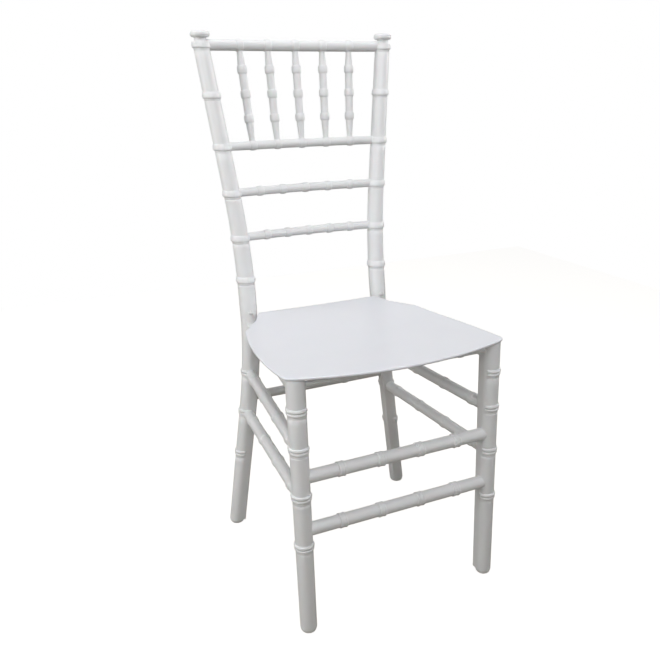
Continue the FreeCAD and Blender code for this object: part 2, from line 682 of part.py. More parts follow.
def spindle(name, step):
    """Spindle with three knots between the spindle rail and the top rail."""
    low = Bow(num("spindle_rail_height"))
    high = Bow(num("top_rail_height"))
    foot = low.at(low.angle(step * num("spindle_foot_pitch")))
    head = high.at(high.angle(step * num("spindle_head_pitch")))
    axis = (head - foot).normalize()
    start = foot + axis * (num("slat_radius") - num("spindle_socket"))
    stop = head - axis * (num("top_rail_radius") - num("spindle_socket"))
    bore = size("spindle_end_radius") + size("socket_clearance")
    depth = size("spindle_socket") * 3
    rail_cutters["spindle_rail"].append(cylinder(name + "_foot_bore", start, axis, bore, depth))
    rail_cutters["top_rail"].append(cylinder(name + "_head_bore", stop, axis * -1, bore, depth))
    tenon = num("spindle_tenon")
    heights = [num("spindle_knot_" + part) for part in ("low", "middle", "high")]
    places = [foot + axis * ((z - foot.z) / axis.z) for z in heights]
    lower = places[0] - (start + axis * tenon)
    upper = (stop - axis * tenon) - places[2]
    end = size("spindle_end_radius")
    full = size("spindle_body_radius")
    pieces = [
        cylinder(name + "_foot_tenon", start, axis, end, size("spindle_tenon")),
        make("Part::Cone", name + "_foot_taper", FreeCAD.Placement(start + axis * tenon, turn_to(axis)),
             Radius1=end, Radius2=full, Height=lower.Length),
        cylinder(name + "_body", places[0], axis, full, (places[2] - places[0]).Length),
        make("Part::Cone", name + "_head_taper", FreeCAD.Placement(places[2], turn_to(axis)),
             Radius1=full, Radius2=end, Height=upper.Length),
        cylinder(name + "_head_tenon", stop - axis * tenon, axis, end, size("spindle_tenon")),
    ]
    for k, place in enumerate(places):
        pieces.append(bead("%s_knot_%d" % (name, k), place, axis, full + size("spindle_knot_rise"),
                           size("spindle_knot_half")))
    return join(name, pieces)


rail_cutters["spindle_rail"] = []
rail_cutters["top_rail"] = []
for step in range(-2, 3):
    spindle("spindle_%d" % (step + 3), step)
bowed_rail("top_rail", "top_rail_height", "top_rail_radius", "spindle_head_pitch")
bowed_rail("spindle_rail", "spindle_rail_height", "slat_radius", "spindle_foot_pitch")
bowed_rail("back_slat_upper", "slat_upper_height", "slat_radius", "slat_upper_pitch")
bowed_rail("back_slat_lower", "slat_lower_height", "slat_radius", "slat_lower_pitch")


# Turned pieces: finials, foot glides, studs and screws

def peg_bore(leg, point, direction):
    """Bore in a right leg for a peg that starts at a point and runs along a direction."""
    if leg not in cutters:
        return
    name = "%s_bore_%d" % (leg, len(cutters[leg]))
    radius = size("peg_radius") + size("socket_clearance")
    far = point + direction * num("peg_length")
    depth = size("peg_length") + size("cut_margin")
    cutters[leg].append(cylinder(name, far, direction * -1, radius, depth))


peg = size("peg_radius")
length = size("peg_length")
disc = size("finial_radius")
edge = size("finial_edge")
neck = size("finial_neck_radius")
rise = size("finial_height")
under = rise - size("finial_disc")
for label, side in SIDES:
    seat_of_finial = rear_centre(num("post_top_height"), side)
    turned("finial_" + label, [(0, length * -1), (peg, length * -1), (peg, 0), (neck, 0), (neck, under),
                               (disc - edge, under), (disc, under + edge, edge), (disc, rise - edge),
                               (disc - edge, rise, edge), (0, rise)],
           FreeCAD.Placement(seat_of_finial, FreeCAD.Rotation()))
    peg_bore("rear_post_" + label, seat_of_finial, V(0, 0, -1))

thick = size("glide_height")
curve = size("glide_edge")
for place, leg, centre, foot in (("front", "front_leg", front_centre, "front_foot_radius"),
                                 ("rear", "rear_post", rear_centre, "rear_foot_radius")):
    wide = size(foot) - size("glide_margin")
    for label, side in SIDES:
        spot = centre(num("glide_height"), side)
        turned("foot_glide_%s_%s" % (place, label),
               [(0, 0), (wide - curve, 0), (wide, curve, curve), (wide, thick), (peg, thick),
                (peg, thick + length), (0, thick + length)],
               FreeCAD.Placement(V(spot.x, spot.y, 0), FreeCAD.Rotation()))
        peg_bore("%s_%s" % (leg, label), spot, V(0, 0, 1))


def group(name, members):
    """Several alike solids kept together as one node."""
    result = doc.addObject("Part::Compound", name)
    result.Links = members
    return result


studs = []
head = size("stud_head_radius")
dome = size("stud_head_height")
shank = size("stud_radius")
edge = size("stud_edge")
deep = size("stud_length") * -1
for label, side in SIDES:
    z = num("stud_height")
    face = rear_centre(z, side) - V(0, rear_radius(z) - num("post_inset") - num("stud_sink"), 0)
    studs.append(turned("stud_" + label,
                        [(0, deep), (shank, deep), (shank, 0), (head, 0), (head, dome - edge),
                         (head - edge, dome, edge), (0, dome)],
                        FreeCAD.Placement(face, turn_to(V(0, -1, 0)))))
group("seat_stop_studs", studs)
back = face + V(0, num("stud_length"), 0)
cutters["rear_post_right"] += [
    cylinder("stud_bore", back, V(0, -1, 0), shank + size("socket_clearance"),
             size("stud_length") + size("cut_margin")),
    cylinder("stud_seat", face, V(0, -1, 0), head + size("socket_clearance"), dome * 2),
]

screws = []
for k, place in enumerate(screw_places):
    head = size("screw_head_radius")
    shank = size("screw_radius")
    low = size("screw_head_height") * -1
    screws.append(turned("screw_%d" % (k + 1),
                         [(0, low), (head, low), (head, 0), (shank, 0), (shank, size("screw_length")),
                          (0, size("screw_length"))],
                         FreeCAD.Placement(place, FreeCAD.Rotation())))
group("seat_screws", screws)


# Seat panel

def seat_rise(y):
    """How far the edges of the seat stand above their lowest place, at a distance from the middle."""
    run = y - num("seat_low_y")
    end = "front" if run < 0 else "rear"
    share = abs(run) / num("seat_%s_reach" % end)
    return num("seat_%s_rise" % end) * share ** num("seat_curl")


def seat_surface(x, y):
    """Height of the top of the seat panel at a place."""
    share = x / num("seat_half")
    return num("seat_height") + seat_rise(y) - num("seat_dish") * (1 - share * share)


def rounded(before, corner, after, radius):
    """Two points where an arc of a radius leaves and joins the lines through a corner."""
    back = (before - corner).normalize()
    ahead = (after - corner).normalize()
    half = back.getAngle(ahead) / 2
    run = radius / math.tan(half)
    return corner + back * run, corner + ahead * run


half = size("seat_half")
dish = size("seat_dish")
bend = (half * half + dish * dish) / (dish * 2)
sections = []
post = rear_centre(num("seat_height"), 1)
rear_edge = post.y - num("seat_back_ahead")
margin = num("blank_margin")
for k, station in enumerate(stations(num("seat_front") - margin, rear_edge + margin, 8)):
    level = size("seat_height") + seat_rise(station)
    sketch = doc.addObject("Sketcher::SketchObject", "seat_section_%d" % k)
    draw(sketch, [(half * -1, level), (half, level, bend), (half, level - size("seat_thickness")),
                  (half * -1, level - size("seat_thickness"), bend * -1)])
    sketch.Placement = FreeCAD.Placement(V(0, station, 0), FreeCAD.Rotation(V(1, 0, 0), 90))
    sections.append(sketch)
blank = loft("seat_blank", sections)

wide_x, wide_y = size("seat_corner_x"), size("seat_corner_y")
front_x, front_y = size("seat_front_x"), size("seat_front_y")
sag = front_y - size("seat_front")
front_arc = (front_x * front_x + sag * sag) / (sag * 2)
ear = V(post.x + num("seat_ear_outside"), post.y - num("seat_ear_ahead"), 0)
neck = V(post.x + num("seat_neck_outside"), post.y - num("seat_neck_ahead"), 0)
back_x = post.x - num("seat_back_inside")
ear_in, ear_out = rounded(V(wide_x.value, wide_y.value, 0), ear, neck, num("seat_ear_radius"))
side_arc = size("seat_side_radius")
ear_arc = size("seat_ear_radius")
plan = doc.addObject("Sketcher::SketchObject", "seat_plan")
draw(plan, [
    (front_x, front_y, front_arc),
    (wide_x, wide_y, size("seat_corner_radius")),
    (ear_in.x, ear_in.y, side_arc),
    (ear_out.x, ear_out.y, ear_arc),
    (neck.x, neck.y),
    (back_x, rear_edge),
    (-back_x, rear_edge),
    (-neck.x, neck.y),
    (-ear_out.x, ear_out.y),
    (-ear_in.x, ear_in.y, ear_arc),
    (wide_x * -1, wide_y, side_arc),
    (front_x * -1, front_y, size("seat_corner_radius")),
])
plan.Placement = FreeCAD.Placement(V(0, 0, num("seat_height") - margin), FreeCAD.Rotation())
prism = doc.addObject("Part::Extrusion", "seat_prism")
prism.Base = plan
prism.DirMode = "Custom"
prism.Dir = V(0, 0, 1)
bind(prism, LengthFwd=size("blank_margin") * 2)
prism.Solid = True
panel = doc.addObject("Part::Common", "seat_sheet")
panel.Base = blank
panel.Tool = prism

pieces = [panel]
for label, side in SIDES:
    top = front_centre(num("front_top_height"), side)
    middle = seat_surface(top.x, top.y) - num("seat_thickness") / 2
    pieces.append(cylinder("front_boss_" + label, top, V(0, 0, 1), size("front_boss_radius"), middle - top.z))
    low = top - V(0, 0, num("peg_length"))
    pieces.append(cylinder("front_peg_" + label, low, V(0, 0, 1), peg, size("peg_length") + (middle - top.z)))
    peg_bore("front_leg_" + label, top, V(0, 0, -1))
pilots = []
for k, place in enumerate(screw_places):
    base = V(place.x, place.y, num("side_rail_top"))
    middle = seat_surface(place.x, place.y) - num("seat_thickness") / 2
    pieces.append(cylinder("side_boss_%d" % k, base, V(0, 0, 1), size("boss_radius"), middle - base.z))
    bore = size("screw_radius") + size("socket_clearance")
    pilots.append(cylinder("pilot_%d" % k, place, V(0, 0, 1), bore, size("screw_length")))
cut("seat_panel", join("seat_body", pieces), pilots)

front_leg("front_leg_right", 1, cutters["front_leg_right"])
rear_post("rear_post_right", 1, cutters["rear_post_right"])
for kind in ("front_leg", "rear_post"):
    twin = doc.addObject("Part::Mirroring", kind + "_left")
    twin.Source = doc.getObject(kind + "_right")
    twin.Normal = V(1, 0, 0)


# Export

doc.recompute()
NODES = ["front_leg_left", "front_leg_right", "rear_post_left", "rear_post_right", "finial_left",
         "finial_right", "top_rail", "spindle_rail", "back_slat_upper", "back_slat_lower"]
NODES += ["spindle_%d" % k for k in range(1, 6)]
NODES += ["seat_panel", "front_seat_rail", "rear_seat_rail", "side_seat_rail_left", "side_seat_rail_right",
          "front_stretcher_upper", "front_stretcher_lower", "rear_stretcher"]
NODES += ["side_stretcher_%s_%s" % (label, level) for label, side in SIDES for level in ("upper", "lower")]
NODES += ["foot_glide_%s_%s" % (end, label) for end in ("front", "rear") for label, side in SIDES]
NODES += ["seat_screws", "seat_stop_studs"]

for obj in doc.Objects:
    if "Invalid" in obj.State or "Error" in obj.State:
        raise RuntimeError("%s did not compute" % obj.Name)
    if obj.TypeId == "Part::MultiFuse":
        largest = max(piece.Shape.Volume for piece in obj.Shapes)
        if obj.Shape.Volume < largest * 0.999:
            raise RuntimeError("%s lost material" % obj.Name)
os.makedirs("parts", exist_ok=True)
for name in NODES:
    obj = doc.getObject(name)
    shape = obj.Shape
    expected = {"seat_screws": 4, "seat_stop_studs": 2}.get(name, 1)
    if shape.isNull() or not shape.isValid() or len(shape.Solids) != expected:
        raise RuntimeError("%s has %d solids" % (name, len(shape.Solids)))
    obj.Label = name
    shape.exportStep("parts/%s.step" % name)
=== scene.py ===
"""Looks of a white moulded chiavari side chair, built round its CAD frame."""

import logging
import math
from dataclasses import dataclass, field
from enum import Enum
from typing import Callable, Dict, List, Sequence, Tuple

import bmesh
import bpy
from mathutils import Matrix, Vector

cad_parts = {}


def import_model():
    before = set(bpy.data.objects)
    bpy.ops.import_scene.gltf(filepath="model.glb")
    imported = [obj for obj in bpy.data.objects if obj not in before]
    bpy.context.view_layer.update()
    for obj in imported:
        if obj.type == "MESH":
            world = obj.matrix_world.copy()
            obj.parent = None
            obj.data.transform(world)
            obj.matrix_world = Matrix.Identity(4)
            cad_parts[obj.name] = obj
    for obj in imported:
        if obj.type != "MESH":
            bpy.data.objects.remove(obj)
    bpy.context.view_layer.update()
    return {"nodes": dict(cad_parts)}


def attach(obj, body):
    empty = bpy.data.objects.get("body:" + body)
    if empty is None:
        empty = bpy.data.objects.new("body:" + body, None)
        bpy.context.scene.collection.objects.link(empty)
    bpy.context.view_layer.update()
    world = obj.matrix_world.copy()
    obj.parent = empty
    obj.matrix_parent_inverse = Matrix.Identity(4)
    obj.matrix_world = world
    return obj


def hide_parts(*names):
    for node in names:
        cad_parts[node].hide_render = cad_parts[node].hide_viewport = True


LOG = logging.getLogger("chair")
MM = 0.001
SIDES = (("left", -1), ("right", 1))
LEVELS = ("upper", "lower")
FIVE = range(-2, 3)  # five knots or spindles, counted from the middle plane
TIP = 0.05  # radius at which a turned piece closes, in mm

Pair = Tuple[float, float]
Place = Tuple[float, float, float]
Outline = List[Tuple[float, float, float]]
Rings = List[List[Vector]]


def blend(low: float, high: float, share: float) -> float:
    """Value part of the way from low to high."""
    return low + (high - low) * share


def ease(low: float, high: float, value: float) -> float:
    """Smooth step from 0 at low to 1 at high, which may run downwards."""
    share = min(1.0, max(0.0, (value - low) / (high - low)))
    return share * share * (3 - 2 * share)


def spread(low: float, high: float, step: float) -> List[float]:
    """Evenly spaced values from low to high, at most a step apart."""
    count = max(1, math.ceil((high - low) / step))
    return [blend(low, high, k / count) for k in range(count + 1)]


# Finishes


def linear(code: str) -> Tuple[float, float, float, float]:
    """Linear colour of an sRGB hex value.

    Args:
        code: colour such as "#E8E8EA".

    Returns:
        Red, green, blue and alpha.
    """
    parts = [int(code[k : k + 2], 16) / 255 for k in (1, 3, 5)]
    light = [c / 12.92 if c <= 0.04045 else ((c + 0.055) / 1.055) ** 2.4 for c in parts]
    return (*light, 1.0)


def blank_material(name: str) -> bpy.types.Material:
    """New material with an empty node tree.

    Args:
        name: real material and how its surface was made.

    Returns:
        The material, still without a surface.
    """
    made = bpy.data.materials.new(name)
    made.use_nodes = True
    made.node_tree.nodes.clear()
    return made


def add_node(
    tree: bpy.types.NodeTree, kind: str, settings: Dict[str, object], links: Dict[object, object]
) -> bpy.types.Node:
    """Add a shader node with its settings and links.

    Args:
        tree: node tree that takes the node.
        kind: node type, such as "ShaderNodeBump".
        settings: property or socket names with their values.
        links: input names or numbers with the output sockets that feed them.

    Returns:
        The new node.
    """
    node = tree.nodes.new(kind)
    for name, value in settings.items():
        if hasattr(node, name):
            setattr(node, name, value)
        else:
            node.inputs[name].default_value = value
    for name, source in links.items():
        tree.links.new(source, node.inputs[name])
    return node


@dataclass(frozen=True)
class Moulding:
    """Injection moulded plastic, with sizes in mm.

    A steel mould gives an even colour and a soft sheen. Spark erosion of the mould leaves a grain of about
    0.1 mm, which is drawn coarser here so that it shows. The ripple is the slight sink of a thick wall as it
    cools, and the mottle a faint change of tone and sheen where the plastic flowed.
    """

    name: str
    colour: str
    shade: str
    roughness: float
    grain_depth: float = 0.05
    ripple_depth: float = 0.012
    ior: float = 1.49
    grain_mm: float = 0.9
    grain_strength: float = 0.5
    ripple_mm: float = 46.0
    mottle_mm: float = 70.0
    mottle_range: Pair = (0.3, 0.7)
    sheen_swing: float = 0.04
    glow: float = 0.06
    glow_mm: float = 2.5

    def build(self) -> bpy.types.Material:
        """Make the material.

        Returns:
            The finished material.
        """
        made = blank_material(self.name)
        tree = made.node_tree
        place = add_node(tree, "ShaderNodeTexCoord", {}, {}).outputs["Object"]
        noises = ((self.mottle_mm, 3.0), (self.grain_mm, 2.0), (self.ripple_mm, 1.0))
        mottle, grain, ripple = (
            add_node(tree, "ShaderNodeTexNoise", {"Scale": 1 / (mm * MM), "Detail": fine}, {"Vector": place})
            for mm, fine in noises)
        tint = add_node(tree, "ShaderNodeMix", {"data_type": "RGBA"}, {"Factor": mottle.outputs["Fac"]})
        # Sockets 6 and 7 are the node's two colours; their names are shared with its other types.
        tint.inputs[6].default_value = linear(self.colour)
        tint.inputs[7].default_value = linear(self.shade)
        sheen = add_node(
            tree, "ShaderNodeMapRange",
            {"From Min": self.mottle_range[0], "From Max": self.mottle_range[1],
             "To Min": self.roughness - self.sheen_swing, "To Max": self.roughness + self.sheen_swing},
            {"Value": mottle.outputs["Fac"]})
        wave = add_node(
            tree, "ShaderNodeBump", {"Strength": 1.0, "Distance": self.ripple_depth * self.ripple_mm * MM},
            {"Height": ripple.outputs["Fac"]})
        bump = add_node(
            tree, "ShaderNodeBump", {"Strength": self.grain_strength, "Distance": self.grain_depth * MM},
            {"Height": grain.outputs["Fac"], "Normal": wave.outputs["Normal"]})
        skin = add_node(
            tree, "ShaderNodeBsdfPrincipled",
            {"IOR": self.ior, "Subsurface Weight": self.glow, "Subsurface Scale": self.glow_mm * MM},
            {"Base Color": tint.outputs[2], "Roughness": sheen.outputs["Result"],
             "Normal": bump.outputs["Normal"]})
        add_node(tree, "ShaderNodeOutputMaterial", {}, {"Surface": skin.outputs["BSDF"]})
        return made


@dataclass(frozen=True)
class Plating:
    """Thin bright plating on cold formed steel: a cool grey metal with fine scuffs, drawn coarser."""

    name: str
    colour: str
    roughness: float
    scuff_mm: float = 0.8
    scuff_depth: float = 0.03
    scuff_strength: float = 0.3

    def build(self) -> bpy.types.Material:
        """Make the material.

        Returns:
            The finished material.
        """
        made = blank_material(self.name)
        tree = made.node_tree
        place = add_node(tree, "ShaderNodeTexCoord", {}, {}).outputs["Object"]
        scuff = add_node(
            tree, "ShaderNodeTexNoise", {"Scale": 1 / (self.scuff_mm * MM), "Detail": 2.0}, {"Vector": place})
        bump = add_node(
            tree, "ShaderNodeBump", {"Strength": self.scuff_strength, "Distance": self.scuff_depth * MM},
            {"Height": scuff.outputs["Fac"]})
        skin = add_node(
            tree, "ShaderNodeBsdfPrincipled",
            {"Base Color": linear(self.colour), "Metallic": 1.0, "Roughness": self.roughness},
            {"Normal": bump.outputs["Normal"]})
        add_node(tree, "ShaderNodeOutputMaterial", {}, {"Surface": skin.outputs["BSDF"]})
        return made


class Finish(Enum):
    """The finishes of the chair, each with the record's slot that it stands for."""

    # Polypropylene with a fine mould grain: neutral white, with soft highlights along the round bars.
    FRAME = ("frame_plastic", Moulding("moulded_polypropylene_frame", "#E6E6E7", "#E0E1E0", 0.36))

    # The same plastic from a smoother mould: a little bluer and shinier, flat enough to have no ripple.
    # Its roughness was raised from 0.30, at which faint marks showed on it.
    SEAT = ("seat_plastic", Moulding(
        "moulded_polypropylene_seat", "#E4E5E9", "#E2E3E7", 0.33, grain_depth=0.02, ripple_depth=0.0))

    # Nylon of the foot glides: greyer and duller, scuffed by the floor.
    GLIDE = ("glide_plastic", Moulding("moulded_nylon_glide", "#DEDEDC", "#D4D4D1", 0.5))

    # Nylon of the small studs: greyer than the posts, with some sheen.
    STUD = ("stud_plastic", Moulding("moulded_nylon_stud", "#DADADA", "#D0D0D0", 0.4))

    # Zinc plated steel of the hidden screws: bright and slightly cloudy.
    SCREW = ("screw_steel", Plating("plated_zinc_steel", "#B9BCC0", 0.34))

    @property
    def slot(self) -> str:
        """Name of the record's material slot."""
        return self.value[0]


# Meshes


def tube_faces(first: int, count: int, levels: int) -> List[List[int]]:
    """Faces of a closed tube through rings of points.

    Args:
        first: number of the tube's first point.
        count: points in each ring.
        levels: number of rings.

    Returns:
        The corner numbers of each face, ends included.
    """
    faces = []
    for level in range(levels - 1):
        low = first + level * count
        for k in range(count):
            after = (k + 1) % count
            faces.append([low + k, low + after, low + count + after, low + count + k])
    faces.append([first + k for k in reversed(range(count))])
    faces.append([first + (levels - 1) * count + k for k in range(count)])
    return faces


class Workshop:
    """Turns rings of points into pieces of the chair and dresses them."""

    def __init__(self) -> None:
        """Make each finish once."""
        self.materials = {finish: finish.value[1].build() for finish in Finish}

    def mesh(self, name: str, tubes: Sequence[Rings], crease: float) -> bpy.types.Mesh:
        """Make a smooth shaded mesh of closed tubes.

        Args:
            name: name of the mesh.
            tubes: the rings of each tube in mm, of equal count and in order along it.
            crease: edges that turn by more than this many degrees stay sharp.

        Returns:
            The new mesh, in metres.
        """
        points: List[Vector] = []
        faces: List[List[int]] = []
        for rings in tubes:
            faces += tube_faces(len(points), len(rings[0]), len(rings))
            points += [point for ring in rings for point in ring]
        mesh = bpy.data.meshes.new(name)
        mesh.from_pydata([tuple(point * MM) for point in points], [], faces)
        solid = bmesh.new()
        solid.from_mesh(mesh)
        bmesh.ops.recalc_face_normals(solid, faces=solid.faces)
        solid.to_mesh(mesh)
        solid.free()
        mesh.shade_smooth()
        mesh.set_sharp_from_angle(angle=math.radians(crease))
        return mesh

    def piece(
        self, name: str, node: str, tubes: Sequence[Rings],
        finish: Finish = Finish.FRAME, crease: float = 38.0,
    ) -> None:
        """Add one visible piece of the chair in place of a CAD node.

        Args:
            name: name of the piece.
            node: CAD node that it replaces.
            tubes: the rings of each of its tubes, in mm.
            finish: finish of the whole piece.
            crease: edges that turn by more than this many degrees stay sharp.
        """
        mesh = self.mesh(name, tubes, crease)
        mesh.materials.append(self.materials[finish])
        piece = bpy.data.objects.new(name, mesh)
        bpy.context.scene.collection.objects.link(piece)
        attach(piece, "root")
        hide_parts(node)
        LOG.info("%s: %d faces, replaces %s", piece.name, len(mesh.polygons), node)


def profile_arc(centre: Pair, radius: float, start: float, stop: float, steps: int = 6) -> List[Pair]:
    """Points of an arc in a flat section, between two angles in degrees."""
    angles = [math.radians(blend(start, stop, k / steps)) for k in range(steps + 1)]
    return [(centre[0] + radius * math.cos(a), centre[1] + radius * math.sin(a)) for a in angles]


def lathe(profile: Sequence[Pair], place: Matrix, segments: int = 48) -> Rings:
    """Rings of a turned piece.

    Args:
        profile: points (radius, height), from one end to the other.
        place: where the piece's own axes go, in mm.
        segments: points in each ring.

    Returns:
        One ring for each profile point.
    """
    rings = []
    for radius, height in profile:
        angles = [2 * math.pi * k / segments for k in range(segments)]
        rings.append([place @ Vector((radius * math.cos(a), radius * math.sin(a), height)) for a in angles])
    return rings


# Rings and knots


@dataclass(frozen=True)
class Bead:
    """Raised band round a bar, or a groove where its rise is negative, in mm along the bar."""

    offset: float
    ahead: float
    behind: float
    rise: float
    fullness: float = 0.5

    def height(self, place: float) -> float:
        """How far the band stands proud.

        Args:
            place: distance along the bar from the ring's middle.

        Returns:
            Height over the plain bar in mm, 0 beside the band.
        """
        run = self.ahead if place > self.offset else self.behind
        share = min(1.0, abs(place - self.offset) / run)
        return self.rise * (1 - share * share) ** self.fullness

    def stations(self) -> List[float]:
        """Places that show the band's form, closer together towards its edges.

        Returns:
            Distances along the bar from the ring's middle.
        """
        shares = (0.3, 0.6, 0.82, 0.94, 1.0)
        before = [self.offset - self.behind * s for s in shares]
        after = [self.offset + self.ahead * s for s in shares]
        return before + [self.offset] + after


class RingForm(Enum):
    """The moulded rings of the chair: each is a set of beads and grooves."""

    LEG = (
        Bead(6.2, 3.2, 3.2, 2.3),
        Bead(0.4, 2.3, 2.5, 1.7),
        Bead(-6.6, 0.7, 0.7, -0.3, 1.0),
    )
    POST = (
        Bead(-2.6, 8.6, 3.2, 2.2, 0.62),
        Bead(-9.6, 0.8, 0.8, -0.3, 1.0),
    )
    STRETCHER = (
        Bead(4.4, 1.8, 1.9, 1.7),
        Bead(0.0, 6.0, 6.0, 1.1, 0.3),
        Bead(-4.4, 1.9, 1.8, 1.7),
    )
    SIDE = (Bead(0.0, 6.6, 6.6, 1.2, 0.6),)
    RAIL = (Bead(0.0, 6.6, 6.6, 1.6, 0.7),)
    SPINDLE = (Bead(0.0, 7.2, 7.0, 1.8, 0.36),)

    def relief(self, place: float) -> float:
        """Height of the ring at a distance from its middle."""
        heights = [bead.height(place) for bead in self.value]
        return max(heights + [0.0]) + min(heights + [0.0])

    def stations(self) -> List[float]:
        """Distances from the ring's middle that show its form."""
        return [place for bead in self.value for place in bead.stations()]


@dataclass
class Turning:
    """Rings along a bar: where each stands and what form it has."""

    rings: List[Tuple[float, RingForm]] = field(default_factory=list)
    least_gap: float = 0.12

    def relief(self, place: float) -> float:
        """Height of whatever ring is at a place."""
        return sum(form.relief(place - centre) for centre, form in self.rings)

    def nearest(self, place: float) -> float:
        """Centre of the ring nearest to a place."""
        return min((centre for centre, form in self.rings), key=lambda centre: abs(centre - place))

    def stations(self, low: float, high: float, step: float) -> List[float]:
        """Stations from low to high with the rings' own places among them.

        Args:
            low: first station.
            high: last station.
            step: widest spacing between stations.

        Returns:
            Rising places, no two closer than the least gap save the last.
        """
        found = [centre + place for centre, form in self.rings for place in form.stations()]
        found = sorted(set([low, high] + [p for p in found + spread(low, high, step) if low < p < high]))
        kept = [found[0]]
        for place in found[1:]:
            if place - kept[-1] > self.least_gap or place == high:
                kept.append(place)
        return kept


# Centre lines


@dataclass(frozen=True)
class Span:
    """Straight bar between two centres, which ends a little inside each."""

    start: Vector
    stop: Vector
    insets: Pair

    @property
    def way(self) -> Vector:
        """Direction from start to stop."""
        return (self.stop - self.start).normalized()

    @property
    def tips(self) -> Tuple[Vector, Vector]:
        """Both ends of the bar."""
        return self.start + self.way * self.insets[0], self.stop - self.way * self.insets[1]

    @property
    def middle(self) -> float:
        """Distance from the bar's first end to half way between the centres."""
        return (self.stop - self.start).length / 2 - self.insets[0]


@dataclass(frozen=True)
class Stance:
    """Centre lines and radii of the legs and posts, in mm.

    A pair is (x, y) for a foot or a top, and (height, radius) for shoulder, waist and head. Flare and rake
    give the rear posts' x and y: height of the knee, value there, slope above it and reach of the bend.
    """

    front_foot: Pair = (169.8, -202.8)
    front_top: Pair = (172.7, -183.2)
    front_height: float = 432.5
    front_radii: Pair = (13.6, 14.9)
    rear_foot: Pair = (184.2, 141.7)
    flare: Tuple[float, float, float, float] = (458.5, 122.9, 0.117, 190.0)
    rake: Tuple[float, float, float, float] = (345.7, 132.5, 0.138, 112.0)
    rear_foot_radius: float = 14.1
    shoulder: Pair = (412.0, 15.1)
    waist: Pair = (450.0, 16.0)
    head: Pair = (904.0, 13.8)
    glide_height: float = 8.0
    rail_middle: float = 411.0
    fix_front: float = 76.9
    fix_rear: float = 84.6

    def bend(self, z: float, foot: float, line: Tuple[float, float, float, float]) -> float:
        """Follow a line that turns smoothly from one slope to another.

        Args:
            z: height.
            foot: value at the floor.
            line: knee height, value at the knee, slope above it and reach of the bend.

        Returns:
            The value at the height.
        """
        knee, value, above, reach = line
        below = (value - foot) / knee
        run = z - knee
        rest = max(0.0, reach - abs(run))
        return value + (below if run < 0 else above) * run + (above - below) * rest * rest / (4 * reach)

    def front(self, z: float, side: int) -> Vector:
        """Centre of a front leg at a height, on the side -1 or 1."""
        x, y = (blend(foot, top, z / self.front_height) for foot, top in zip(self.front_foot, self.front_top))
        return Vector((side * x, y, z))

    def front_radius(self, z: float) -> float:
        """Radius of a front leg at a height."""
        return blend(self.front_radii[0], self.front_radii[1], z / self.front_height)

    def rear(self, z: float, side: int) -> Vector:
        """Centre of a rear post at a height, on the side -1 or 1."""
        x, y = self.bend(z, self.rear_foot[0], self.flare), self.bend(z, self.rear_foot[1], self.rake)
        return Vector((side * x, y, z))

    def rear_radius(self, z: float) -> float:
        """Radius of a rear post, which thickens between shoulder and waist.

        Args:
            z: height.

        Returns:
            The radius in mm.
        """
        (shoulder, wide), (waist, widest), (head, narrow) = self.shoulder, self.waist, self.head
        if z < shoulder:
            return blend(self.rear_foot_radius, wide, z / shoulder)
        if z < waist:
            return blend(wide, widest, ease(0, 1, (z - shoulder) / (waist - shoulder)))
        return blend(widest, narrow, (z - waist) / (head - waist))

    def cross_front(self, z: float, socket: float) -> Span:
        """Bar between the front legs at a height, with a depth of socket."""
        inset = self.front_radius(z) - socket
        return Span(self.front(z, -1), self.front(z, 1), (inset, inset))

    def cross_rear(self, z: float, socket: float) -> Span:
        """Bar between the rear posts at a height, with a depth of socket."""
        inset = self.rear_radius(z) - socket
        return Span(self.rear(z, -1), self.rear(z, 1), (inset, inset))

    def along_side(self, z: float, side: int, socket: float) -> Span:
        """Bar from front leg to rear post at a height, with a depth of socket."""
        insets = (self.front_radius(z) - socket, self.rear_radius(z) - socket)
        return Span(self.front(z, side), self.rear(z, side), insets)

    def fixings(self, side: int) -> List[Vector]:
        """Places of one side's two seat screws, on the middle line of the side rail.

        Args:
            side: -1 for left, 1 for right.

        Returns:
            The front place and the rear one.
        """
        front, rear = self.front(self.rail_middle, side), self.rear(self.rail_middle, side)
        places = (front.y + self.fix_front, rear.y - self.fix_rear)
        return [front.lerp(rear, (y - front.y) / (rear.y - front.y)) for y in places]


# Legs


def leg_outline(radius: float, corner: float, quarter: int) -> Outline:
    """Section of a leg: three quarters round with one square corner.

    Args:
        radius: radius of the round part.
        corner: rounding of the square corner; a corner as large as the radius gives a circle.
        quarter: quarter turns that bring the corner from (+, +) to its place.

    Returns:
        Points (x, y, angle in degrees from the outer diagonal).
    """
    flat = radius - corner
    thirds = (0.33, 0.66)
    points = profile_arc((0.0, 0.0), radius, 90, 360, 54)
    points += [(radius, flat * share) for share in thirds]
    points += profile_arc((flat, flat), corner, 0, 90, 5)
    points += [(flat * share, radius) for share in reversed(thirds)]
    turned = []
    for x, y in points:
        # The outer diagonal stands at 225 degrees before the section is turned.
        away = abs((math.degrees(math.atan2(y, x)) - 225 + 180) % 360 - 180)
        for _ in range(quarter):
            x, y = -y, x
        turned.append((x, y, away))
    return turned


